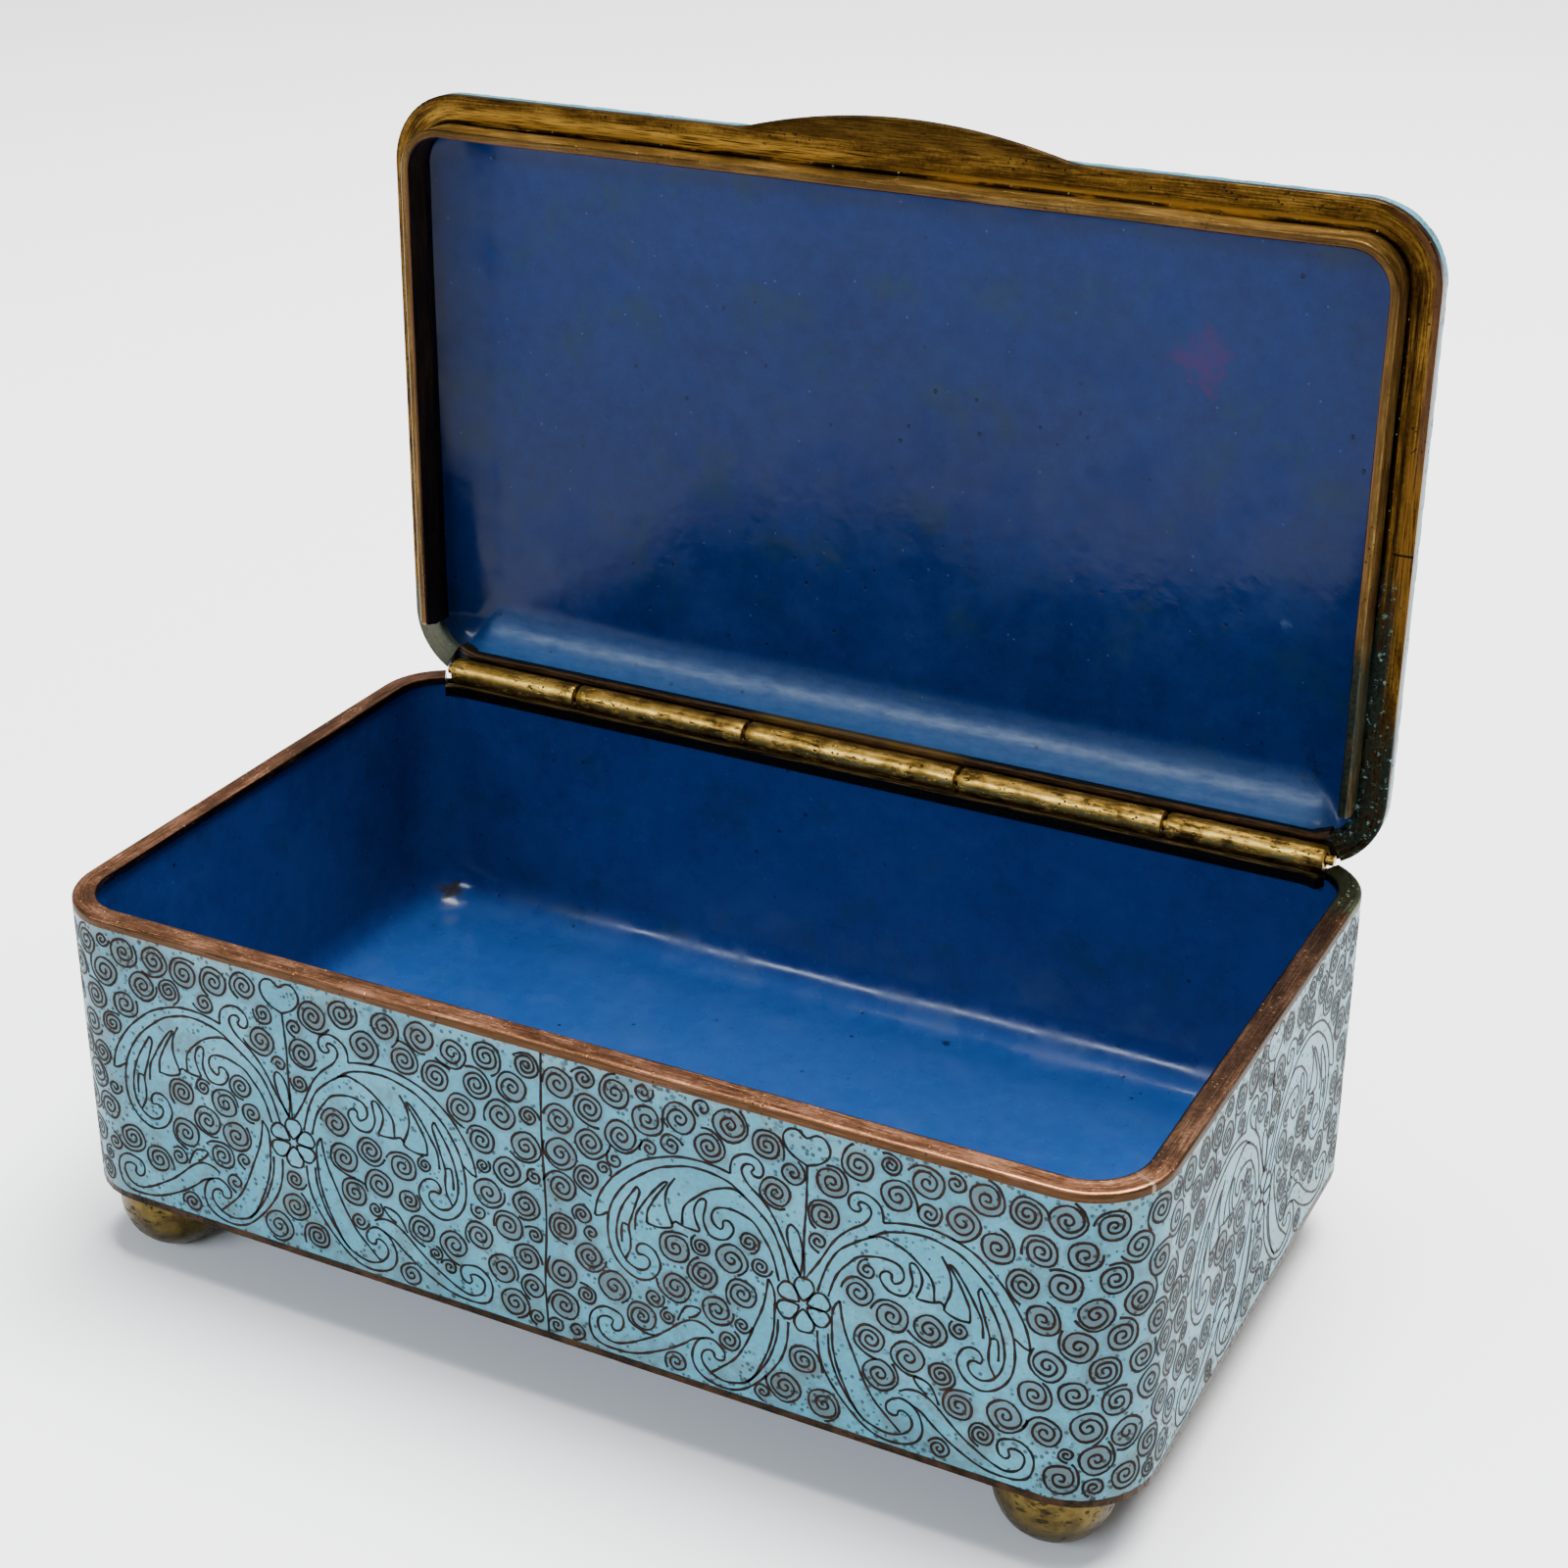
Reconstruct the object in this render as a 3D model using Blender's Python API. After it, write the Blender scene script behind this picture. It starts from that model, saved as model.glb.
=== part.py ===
"""A hinged cloisonne enamel box on four ball feet, lid standing open.

Frame: metres, +Z up, +X along the length, -Y the front. The origin is the
middle of the floor inside the box. The lid pieces are modelled closed, about
the hinge axis, and the empty that carries them turns them open.
"""

from math import atan, cos, pi, radians, sin, sqrt

import bmesh
import bpy
from mathutils import Matrix, Vector

MM = 0.001

# Outline shared by body and lid
BOX_LENGTH = 127.0 * MM
BOX_DEPTH = 75.0 * MM
CORNER_RADIUS = 8.8 * MM

# Body: base plate, enamelled shell and rim strip
BODY_HEIGHT = 35.7 * MM
BASE_THICKNESS = 0.85 * MM
WALL = 2.2 * MM
FLOOR = 2.0 * MM
FLOOR_COVE = 5.0 * MM
RIM_WIDTH = 2.6 * MM
RIM_THICKNESS = 1.0 * MM

# Lid: rim strip, domed shell, inner flange and thumb tab
LID_HEIGHT = 8.0 * MM
LID_WALL = 1.8 * MM
LID_SHOULDER_WIDTH = 7.0 * MM
LID_SHOULDER_HEIGHT = 5.2 * MM
LID_CROWN = 1.0 * MM
LID_RIM_WIDTH = 3.0 * MM
LID_RIM_THICKNESS = 1.0 * MM
FLANGE_THICKNESS = 1.0 * MM
FLANGE_REACH = 4.0 * MM
FLANGE_ROOT = 0.9 * MM
FLANGE_END = 6.0 * MM
TAB_CHORD = 40.0 * MM
TAB_PROJECTION = 2.9 * MM
TAB_THICKNESS = 0.8 * MM
TAB_OFFSET = 3.2 * MM

# Hinge: five knuckles on one pin, sunk in a gutter in each rim
HINGE_END_INSET = 5.0 * MM
KNUCKLE_SHARES = (19.4, 24.0, 28.2, 25.7, 19.7)
KNUCKLE_RADIUS = 1.55 * MM
KNUCKLE_EDGE = 0.15 * MM
KNUCKLE_SPACE = 0.5 * MM
PIN_RADIUS = 0.6 * MM
PIN_CLEARANCE = 0.3 * MM
GUTTER_WALL = 0.55 * MM
GUTTER_LIP_DROP = 0.85 * MM
OPEN_ANGLE = radians(91.0)

# Feet
FOOT_RADIUS = 6.3 * MM
FOOT_HEIGHT = 8.4 * MM
FOOT_SHOULDER = 2.0 * MM
FOOT_FLAT_RADIUS = 1.6 * MM
FOOT_INSET_X = 9.5 * MM
FOOT_INSET_Y = 6.8 * MM

# Every pair of neighbouring pieces keeps this much air between them
GAP = 0.3 * MM

CORNER_STEPS = 8
ROUND_STEPS = 24
COVE_STEPS = 5
REACH = 5.0 * MM

# Sizes that follow from those above
UNDERSIDE = -(BASE_THICKNESS + GAP + FLOOR)
RIM_PLANE = UNDERSIDE + BODY_HEIGHT
HINGE_LENGTH = BOX_LENGTH - 2 * HINGE_END_INSET
MATING_PLANE = RIM_PLANE + GAP
AXIS_Z = RIM_PLANE + GAP / 2
GUTTER_RADIUS = KNUCKLE_RADIUS + GAP
THROAT_HALF_ANGLE = (OPEN_ANGLE + GAP / GUTTER_RADIUS) / 2
HINGE_INSET = GUTTER_RADIUS * cos(THROAT_HALF_ANGLE)
AXIS_Y = BOX_DEPTH / 2 - HINGE_INSET
GUTTER_FRONT = AXIS_Y - GUTTER_RADIUS - GUTTER_WALL
GUTTER_DEPTH = GUTTER_RADIUS + GUTTER_WALL - GAP / 2
GUTTER_LENGTH = HINGE_LENGTH + 2 * GAP
BAR_LENGTH = GUTTER_LENGTH + 2 * GUTTER_WALL
BASE_TOP = UNDERSIDE + BASE_THICKNESS
SHELL_BOTTOM = BASE_TOP + GAP
SHELL_TOP = RIM_PLANE - RIM_THICKNESS - GAP
FLOOR_TOP = SHELL_BOTTOM + FLOOR
LID_SHELL_EDGE = MATING_PLANE + LID_RIM_THICKNESS + GAP
LID_TOP = MATING_PLANE + LID_HEIGHT
FLANGE_INSET = LID_RIM_WIDTH + GAP
HINGE_AXIS = Vector((0.0, AXIS_Y, AXIS_Z))


def fresh_collection(name):
    """An empty collection of this name, linked to the scene."""
    collection = bpy.data.collections.new(name)
    bpy.context.scene.collection.children.link(collection)
    return collection


def make_material(name, colour, roughness, metallic):
    """A Principled material with the given look."""
    material = bpy.data.materials.new(name)
    material.use_nodes = True
    shader = material.node_tree.nodes["Principled BSDF"]
    shader.inputs["Base Color"].default_value = (*colour, 1.0)
    shader.inputs["Roughness"].default_value = roughness
    shader.inputs["Metallic"].default_value = metallic
    return material


def place(name, mesh, collection, material=None, parent=None):
    """Link a mesh as an object; under the lid's empty it is moved to the axis."""
    thing = bpy.data.objects.new(name, mesh)
    collection.objects.link(thing)
    if material:
        mesh.materials.append(material)
    if parent:
        mesh.transform(Matrix.Translation(-HINGE_AXIS))
        thing.parent = parent
    if collection is CUTTERS:
        thing.hide_render = True
        thing.display_type = "WIRE"
    return thing


def mesh_from(bm, name):
    """Turn a finished bmesh into a mesh with its faces pointing out."""
    bmesh.ops.recalc_face_normals(bm, faces=bm.faces)
    mesh = bpy.data.meshes.new(name)
    bm.to_mesh(mesh)
    bm.free()
    return mesh


def box_mesh(name, low, high):
    """A plain box between two corners."""
    low, high = Vector(low), Vector(high)
    bm = bmesh.new()
    bmesh.ops.create_cube(bm, size=1.0)
    bmesh.ops.scale(bm, vec=high - low, verts=bm.verts)
    bmesh.ops.translate(bm, vec=(low + high) / 2, verts=bm.verts)
    return mesh_from(bm, name)


def upright_edges(bm):
    """The edges that run straight up."""
    return [e for e in bm.edges if abs(e.verts[0].co.z - e.verts[1].co.z) > REACH / 100
            and (e.verts[0].co - e.verts[1].co).xy.length < REACH / 1e4]


def rounded_block(front, back, half_length, bottom, top, radius):
    """A block between two heights with its four upright edges rounded."""
    bm = bmesh.new()
    bmesh.ops.create_cube(bm, size=1.0)
    bmesh.ops.scale(bm, vec=(2 * half_length, back - front, top - bottom), verts=bm.verts)
    bmesh.ops.translate(bm, vec=(0, (front + back) / 2, (top + bottom) / 2), verts=bm.verts)
    bmesh.ops.bevel(bm, geom=upright_edges(bm), offset=radius, offset_type="OFFSET",
                    segments=CORNER_STEPS, profile=0.5, affect="EDGES")
    return bm


def round_off(bm, height, radius):
    """Round the loop of edges that lies flat at one height."""
    loop = [e for e in bm.edges
            if all(abs(v.co.z - height) < REACH / 1e4 for v in e.verts)]
    bmesh.ops.bevel(bm, geom=loop, offset=radius, offset_type="OFFSET",
                    segments=COVE_STEPS, profile=0.5, affect="EDGES")


def outline_block(name, inset, bottom, top):
    """The box's own outline, drawn in by an inset, between two heights."""
    bm = rounded_block(-BOX_DEPTH / 2 + inset, BOX_DEPTH / 2 - inset, BOX_LENGTH / 2 - inset,
                       bottom, top, CORNER_RADIUS - inset)
    return mesh_from(bm, name)


def cut(thing, cutter, operation="DIFFERENCE"):
    """Add an exact Boolean modifier."""
    modifier = thing.modifiers.new(cutter.name, "BOOLEAN")
    modifier.operation = operation
    modifier.solver = "EXACT"
    modifier.object = cutter


def smooth(mesh):
    """Shade round faces smooth and leave the true edges sharp."""
    mesh.shade_smooth()
    mesh.set_sharp_from_angle(angle=radians(35))


def domed_block(name, inset, edge, shoulder_width, shoulder_height, crown, crest):
    """The lid's dome: upright edge, elliptical shoulder, low crown up to the crest."""
    stretch = shoulder_width / shoulder_height
    flat = crest - crown
    bm = rounded_block(-BOX_DEPTH / 2 + inset, BOX_DEPTH / 2 - inset, BOX_LENGTH / 2 - inset,
                       edge * stretch, flat * stretch, CORNER_RADIUS - inset)
    round_off(bm, flat * stretch, shoulder_width)
    bmesh.ops.scale(bm, vec=(1, 1, 1 / stretch), verts=bm.verts)
    lid_face = max(bm.faces, key=lambda f: f.calc_center_median().z)
    half_x = max(v.co.x for v in lid_face.verts)
    half_y = max(v.co.y for v in lid_face.verts)
    share = 1.0
    for next_share in (0.75, 0.5, 0.25):
        bmesh.ops.inset_region(bm, faces=[lid_face], thickness=0.0)
        shrink = next_share / share
        bmesh.ops.scale(bm, vec=(shrink, shrink, 1), verts=lid_face.verts,
                        space=Matrix.Translation(-lid_face.calc_center_bounds()))
        share = next_share
    for v in bm.verts:
        if v.co.z > flat - REACH / 1e4:
            fall = max(abs(v.co.x / half_x), abs(v.co.y / half_y))
            v.co.z += crown * (1 - min(fall, 1.0) ** 2)
    return mesh_from(bm, name)


def gutter_rim(name, side, plane, width, thickness, collection, material, parent=None):
    """A flat rim strip with the hinge gutter sunk in its back run.

    side is -1 for the strip below the parting line and +1 for the one above."""
    def span(near, far):
        return sorted((plane + side * near, plane + side * far))

    rim = place(name, outline_block(name, 0.0, *span(0.0, GUTTER_DEPTH)), collection,
                material, parent)
    opening = mesh_from(rounded_block(-BOX_DEPTH / 2 + width, GUTTER_FRONT,
                                      BOX_LENGTH / 2 - width, *span(-REACH, 2 * REACH),
                                      CORNER_RADIUS - width), name + "_opening")
    cut(rim, place(name + "_opening", opening, CUTTERS, parent=parent))
    low, high = span(thickness, 2 * REACH)
    relief = place(name + "_relief",
                   box_mesh(name + "_relief", (-BOX_LENGTH, -BOX_DEPTH, low),
                            (BOX_LENGTH, BOX_DEPTH, high)), CUTTERS, parent=parent)
    low, high = span(-REACH, 3 * REACH)
    kept = place(name + "_bar",
                 box_mesh(name + "_bar", (-BAR_LENGTH / 2, GUTTER_FRONT, low),
                          (BAR_LENGTH / 2, 2 * BOX_DEPTH, high)), CUTTERS, parent=parent)
    cut(relief, kept)
    cut(rim, relief)
    bm = bmesh.new()
    bmesh.ops.create_cone(bm, cap_ends=True, segments=ROUND_STEPS, radius1=GUTTER_RADIUS,
                          radius2=GUTTER_RADIUS, depth=GUTTER_LENGTH)
    bmesh.ops.rotate(bm, cent=(0, 0, 0), matrix=Matrix.Rotation(pi / 2, 3, "Y"), verts=bm.verts)
    bmesh.ops.translate(bm, vec=HINGE_AXIS, verts=bm.verts)
    cut(rim, place(name + "_gutter", mesh_from(bm, name + "_gutter"), CUTTERS, parent=parent))
    low, high = span(-REACH, GUTTER_LIP_DROP)
    lip = box_mesh(name + "_lip", (-GUTTER_LENGTH / 2, GUTTER_FRONT - REACH, low),
                   (GUTTER_LENGTH / 2, AXIS_Y, high))
    cut(rim, place(name + "_lip", lip, CUTTERS, parent=parent))
    return rim


def bar_clearance(name, side, plane, parent=None):
    """The room that a shell leaves for the gutter bar above or below it."""
    near, far = sorted((plane - side * REACH, plane + side * (GUTTER_DEPTH + GAP)))
    return place(name, box_mesh(name, (-BAR_LENGTH / 2 - GAP, GUTTER_FRONT - GAP, near),
                                (BAR_LENGTH / 2 + GAP, BOX_DEPTH, far)), CUTTERS, parent=parent)


def build_body(parts):
    """Base plate, enamelled shell and rim strip."""
    base = outline_block("base_plate", 0.0, UNDERSIDE, BASE_TOP)
    place("base_plate", base, parts, COPPER)
    shell = place("body_shell", outline_block("body_shell", 0.0, SHELL_BOTTOM, SHELL_TOP), parts,
                  TURQUOISE)
    bm = rounded_block(-BOX_DEPTH / 2 + WALL, BOX_DEPTH / 2 - WALL, BOX_LENGTH / 2 - WALL,
                       FLOOR_TOP, SHELL_TOP + REACH, CORNER_RADIUS - WALL)
    round_off(bm, FLOOR_TOP, FLOOR_COVE)
    cut(shell, place("body_cavity", mesh_from(bm, "body_cavity"), CUTTERS))
    cut(shell, bar_clearance("body_bar_room", -1, RIM_PLANE))
    gutter_rim("body_rim", -1, RIM_PLANE, RIM_WIDTH, RIM_THICKNESS, parts, COPPER)


def build_feet(parts):
    """Four balls under the corners, cut off above their widest place, with a small flat spot."""
    height = FOOT_HEIGHT - GAP
    full_height = (height - FOOT_SHOULDER) / sqrt(1 - (FOOT_FLAT_RADIUS / FOOT_RADIUS) ** 2)
    for depth_name, side_y in (("front", -1), ("back", 1)):
        for length_name, side_x in (("left", -1), ("right", 1)):
            name = f"foot_{depth_name}_{length_name}"
            bm = bmesh.new()
            bmesh.ops.create_uvsphere(bm, u_segments=ROUND_STEPS, v_segments=16, radius=1.0)
            bmesh.ops.scale(bm, vec=(FOOT_RADIUS, FOOT_RADIUS, full_height), verts=bm.verts)
            bmesh.ops.translate(bm, vec=(0, 0, -FOOT_SHOULDER), verts=bm.verts)
            for level, clear_up in ((0.0, True), (-height, False)):
                parts_all = bm.verts[:] + bm.edges[:] + bm.faces[:]
                bmesh.ops.bisect_plane(bm, geom=parts_all, dist=1e-7, plane_co=(0, 0, level),
                                       plane_no=(0, 0, 1), clear_outer=clear_up,
                                       clear_inner=not clear_up)
                bmesh.ops.holes_fill(bm, edges=[e for e in bm.edges if e.is_boundary], sides=0)
            foot = place(name, mesh_from(bm, name), parts, BRASS)
            foot.location = (side_x * (BOX_LENGTH / 2 - FOOT_INSET_X),
                             side_y * (BOX_DEPTH / 2 - FOOT_INSET_Y), UNDERSIDE - GAP)
            smooth(foot.data)


def build_lid(parts, hinge):
    """Domed shell, rim strip with the thumb tab, and the inner flange."""
    shell_mesh = domed_block("lid_shell", 0.0, LID_SHELL_EDGE, LID_SHOULDER_WIDTH,
                             LID_SHOULDER_HEIGHT, LID_CROWN, LID_TOP)
    shell = place("lid_shell", shell_mesh, parts, TURQUOISE, hinge)
    hollow = domed_block("lid_hollow", LID_WALL, MATING_PLANE - REACH,
                         LID_SHOULDER_WIDTH - LID_WALL, LID_SHOULDER_HEIGHT - LID_WALL,
                         LID_CROWN, LID_TOP - LID_WALL)
    cut(shell, place("lid_hollow", hollow, CUTTERS, parent=hinge))
    cut(shell, bar_clearance("lid_bar_room", 1, MATING_PLANE, hinge))

    rim = gutter_rim("lid_rim", 1, MATING_PLANE, LID_RIM_WIDTH, LID_RIM_THICKNESS, parts, BRASS,
                     hinge)
    cut(rim, place("thumb_tab", thumb_tab_mesh(), CUTTERS, parent=hinge), "UNION")

    bottom, top = MATING_PLANE - FLANGE_REACH, MATING_PLANE + FLANGE_ROOT
    flange = place("lid_flange", outline_block("lid_flange", FLANGE_INSET, bottom, top), parts,
                   BRASS, hinge)
    core = outline_block("flange_core", FLANGE_INSET + FLANGE_THICKNESS, bottom - REACH,
                         top + REACH)
    cut(flange, place("flange_core", core, CUTTERS, parent=hinge))
    tail = box_mesh("flange_tail", (-BOX_LENGTH, AXIS_Y - FLANGE_END, bottom - REACH),
                    (BOX_LENGTH, BOX_DEPTH, top + REACH))
    cut(flange, place("flange_tail", tail, CUTTERS, parent=hinge))


def thumb_tab_mesh():
    """A shallow crescent plate that stands out from the front of the lid's rim."""
    half = TAB_CHORD / 2
    radius = (half ** 2 + TAB_PROJECTION ** 2) / (2 * TAB_PROJECTION)
    sweep = atan(half / (radius - TAB_PROJECTION))
    steps = 2 * CORNER_STEPS
    outline = []
    for i in range(steps + 1):
        angle = sweep * (2 * i / steps - 1)
        outline.append((radius * sin(angle), radius - TAB_PROJECTION - radius * cos(angle)))
    outline += [(half, LID_RIM_WIDTH / 2), (-half, LID_RIM_WIDTH / 2)]
    curve = bpy.data.curves.new("thumb_tab_outline", "CURVE")
    curve.dimensions = "2D"
    curve.fill_mode = "BOTH"
    curve.extrude = TAB_THICKNESS / 2
    spline = curve.splines.new("POLY")
    spline.points.add(len(outline) - 1)
    for point, (x, y) in zip(spline.points, outline):
        point.co = (x + TAB_OFFSET, y - BOX_DEPTH / 2, 0, 1)
    spline.use_cyclic_u = True
    guide = bpy.data.objects.new("thumb_tab_outline", curve)
    CUTTERS.objects.link(guide)
    bpy.context.view_layer.update()
    depsgraph = bpy.context.evaluated_depsgraph_get()
    raw = bpy.data.meshes.new_from_object(guide.evaluated_get(depsgraph))
    bpy.data.objects.remove(guide)
    bm = bmesh.new()
    bm.from_mesh(raw)
    bmesh.ops.remove_doubles(bm, verts=bm.verts, dist=1e-6)
    bmesh.ops.translate(bm, vec=(0, 0, MATING_PLANE + TAB_THICKNESS / 2), verts=bm.verts)
    return mesh_from(bm, "thumb_tab")


def build_hinge(parts, hinge):
    """Knuckles 1, 3 and 5 belong to the body, 2 and 4 to the lid; one pin runs through."""
    unit = HINGE_LENGTH / sum(KNUCKLE_SHARES)
    start = -HINGE_LENGTH / 2
    bore = PIN_RADIUS + PIN_CLEARANCE
    for number, share in enumerate(KNUCKLE_SHARES, start=1):
        end = start + share * unit
        left = start + (KNUCKLE_SPACE / 2 if number > 1 else 0.0)
        right = end - (KNUCKLE_SPACE / 2 if number < len(KNUCKLE_SHARES) else 0.0)
        half = (right - left) / 2
        outer, edge = KNUCKLE_RADIUS, KNUCKLE_EDGE
        profile = [(bore, half), (outer - edge, half), (outer, half - edge),
                   (outer, edge - half), (outer - edge, -half), (bore, -half)]
        bm = bmesh.new()
        corners = [bm.verts.new((x, 0, z)) for x, z in profile]
        for a, b in zip(corners, corners[1:] + corners[:1]):
            bm.edges.new((a, b))
        bmesh.ops.spin(bm, geom=bm.verts[:] + bm.edges[:], cent=(0, 0, 0), axis=(0, 0, 1),
                       angle=2 * pi, steps=ROUND_STEPS, use_merge=True)
        bmesh.ops.rotate(bm, cent=(0, 0, 0), matrix=Matrix.Rotation(pi / 2, 3, "Y"),
                         verts=bm.verts)
        name = f"hinge_knuckle_{number}"
        on_lid = number % 2 == 0
        knuckle = bpy.data.objects.new(name, mesh_from(bm, name))
        knuckle.data.materials.append(BRASS)
        parts.objects.link(knuckle)
        middle = Vector(((left + right) / 2, 0, 0))
        if on_lid:
            knuckle.parent = hinge
            knuckle.location = middle
        else:
            knuckle.location = HINGE_AXIS + middle
        smooth(knuckle.data)
        start = end
    bm = bmesh.new()
    bmesh.ops.create_cone(bm, cap_ends=True, segments=ROUND_STEPS, radius1=PIN_RADIUS,
                          radius2=PIN_RADIUS, depth=HINGE_LENGTH)
    bmesh.ops.rotate(bm, cent=(0, 0, 0), matrix=Matrix.Rotation(pi / 2, 3, "Y"), verts=bm.verts)
    pin = place("hinge_pin", mesh_from(bm, "hinge_pin"), parts, BRASS)
    pin.location = HINGE_AXIS
    smooth(pin.data)


for old in list(bpy.data.objects):
    bpy.data.objects.remove(old, do_unlink=True)

PARTS = fresh_collection("cloisonne_box")
CUTTERS = fresh_collection("cutters")
COPPER = make_material("aged_copper", (0.55, 0.30, 0.17), 0.38, 1.0)
BRASS = make_material("aged_brass", (0.60, 0.42, 0.16), 0.32, 1.0)
TURQUOISE = make_material("enamelled_copper", (0.36, 0.62, 0.70), 0.25, 0.0)

lid_hinge = bpy.data.objects.new("lid_hinge", None)
lid_hinge.empty_display_size = 10 * MM
lid_hinge.location = HINGE_AXIS
lid_hinge.rotation_euler = (-OPEN_ANGLE, 0, 0)
CUTTERS.objects.link(lid_hinge)

build_body(PARTS)
build_feet(PARTS)
build_lid(PARTS, lid_hinge)
build_hinge(PARTS, lid_hinge)
bpy.context.view_layer.update()
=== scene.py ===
"""Looks of the open cloisonne enamel box: fine pieces, enamels, metals, light and camera."""

from math import atan2, cos, pi, radians, sin, sqrt

import bmesh
import bpy
import numpy as np
from mathutils import Matrix, Vector


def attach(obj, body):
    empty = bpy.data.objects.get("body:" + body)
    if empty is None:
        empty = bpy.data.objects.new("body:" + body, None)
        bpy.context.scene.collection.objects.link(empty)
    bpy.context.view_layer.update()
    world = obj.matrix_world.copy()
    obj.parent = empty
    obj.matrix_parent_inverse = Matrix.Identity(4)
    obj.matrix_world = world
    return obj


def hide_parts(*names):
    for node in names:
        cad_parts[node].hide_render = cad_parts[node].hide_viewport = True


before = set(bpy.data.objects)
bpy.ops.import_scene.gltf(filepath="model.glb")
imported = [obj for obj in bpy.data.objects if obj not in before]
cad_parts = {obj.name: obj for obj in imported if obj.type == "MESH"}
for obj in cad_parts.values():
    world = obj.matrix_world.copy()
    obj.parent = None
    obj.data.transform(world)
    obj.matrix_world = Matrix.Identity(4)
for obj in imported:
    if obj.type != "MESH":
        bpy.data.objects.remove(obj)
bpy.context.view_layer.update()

MM = 0.001
rng = np.random.default_rng(58)

# Sizes of the box in millimetres, the same as the solids have
LENGTH, DEPTH, CORNER = 127.0, 75.0, 8.8
UNDERSIDE, BASE_TOP, RIM_PLANE = -3.15, -2.30, 32.55
WALL = 2.2
FEET_PLANE = -11.55
GAP = 0.3
MATING_PLANE = RIM_PLANE + GAP
LID_TOP = MATING_PLANE + 8.0
AXIS_Y, AXIS_Z = 36.3144, 32.70
GUTTER_RADIUS = 1.85
GUTTER_FRONT = AXIS_Y - 2.4
GUTTER_DEPTH = 2.25
BAR_HALF = 59.35
OPEN_ANGLE = radians(91.0)

HALF_X, HALF_Y = LENGTH / 2, DEPTH / 2
RUN_X, RUN_Y = HALF_X - CORNER, HALF_Y - CORNER
ARC = CORNER * pi / 2
AROUND = 4 * (RUN_X + RUN_Y + ARC)

OPEN_LID = (Matrix.Translation((0, AXIS_Y * MM, AXIS_Z * MM))
            @ Matrix.Rotation(-OPEN_ANGLE, 4, "X")
            @ Matrix.Translation((0, -AXIS_Y * MM, -AXIS_Z * MM)))
SMALLEST_CORNER = 2.2
# The enamel lies this far under the wires' tops; it starts and ends just inside the rims
ENAMEL_DEPTH = 0.03
WIRE_WIDTH, WIRE_DEPTH = 0.275, 0.16
TUCK = 0.02
WALL_LOW, WALL_HIGH = BASE_TOP - TUCK, RIM_PLANE - 1.0 + TUCK

# Legs of the outline, from the middle of the front going right: length, both ends on the
# core, then the outward direction at the start and the turn along the leg in degrees
LEGS = [(RUN_X, (0, -1), (1, -1), -90, 0), (ARC, (1, -1), (1, -1), -90, 90),
        (2 * RUN_Y, (1, -1), (1, 1), 0, 0), (ARC, (1, 1), (1, 1), 0, 90),
        (2 * RUN_X, (1, 1), (-1, 1), 90, 0), (ARC, (-1, 1), (-1, 1), 90, 90),
        (2 * RUN_Y, (-1, 1), (-1, -1), 180, 0), (ARC, (-1, -1), (-1, -1), 180, 90),
        (RUN_X, (-1, -1), (0, -1), 270, 0)]


# Where things lie on the box's outline

def outline(s, inset):
    """Point and outward direction at distance s round the outline from the middle of
    the front, going right, drawn in by an inset. Arrays in, arrays out."""
    s = np.mod(np.asarray(s, float), AROUND)
    inset = np.asarray(inset, float) + 0 * s
    corner = np.maximum(CORNER - inset, SMALLEST_CORNER)
    core_x, core_y = HALF_X - inset - corner, HALF_Y - inset - corner
    x, y, nx, ny = (np.zeros_like(s) for _ in range(4))
    start = 0.0
    for length, first, last, facing, bend in LEGS:
        here = (s >= start) & (s <= start + length)
        share = (s[here] - start) / length
        angle = np.radians(facing + bend * share)
        nx[here], ny[here] = np.cos(angle), np.sin(angle)
        x[here] = core_x[here] * (first[0] + (last[0] - first[0]) * share) + corner[here] * nx[here]
        y[here] = core_y[here] * (first[1] + (last[1] - first[1]) * share) + corner[here] * ny[here]
        start += length
    return x, y, nx, ny


def ring(marks, inset, z):
    """Points at distances round the outline, drawn in by an inset, at a height."""
    x, y, _, _ = outline(marks, inset)
    return np.stack([x, y, z + 0 * x], -1)


def stations(straight, corner):
    """Distances round the outline, with the corners divided more finely."""
    marks, start = [], 0.0
    for length, _, _, _, bend in LEGS:
        count = max(1, round(length / (corner if bend else straight)))
        marks += [start + length * i / count for i in range(count)]
        start += length
    return np.array(marks)


def hinge_marks(straight, corner):
    """Stations doubled just inside the ends of the hinge bar, and which lie in the bar."""
    middle = AROUND / 2
    marks = [s for s in stations(straight, corner) if abs(abs(s - middle) - BAR_HALF) > 0.25]
    for edge in (middle - BAR_HALF, middle + BAR_HALF):
        side = np.sign(middle - edge)
        marks += [edge + side * 0.04, edge + side * 0.12]
    marks = np.array(sorted(marks))
    return marks, np.abs(marks - middle) < BAR_HALF - 0.08


def ripple(a, b, seed, size):
    """Slow unevenness of hand work, from a few crossing waves; about -1 to 1."""
    waves = np.random.default_rng(seed)
    total = 0
    for _ in range(6):
        turn, phase = waves.uniform(0, 2 * pi), waves.uniform(0, 2 * pi)
        share = waves.uniform(0.6, 1.6)
        total = total + np.sin((a * cos(turn) + b * sin(turn)) * 2 * pi * share / size + phase)
    return total / 3.5


# Making objects

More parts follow.
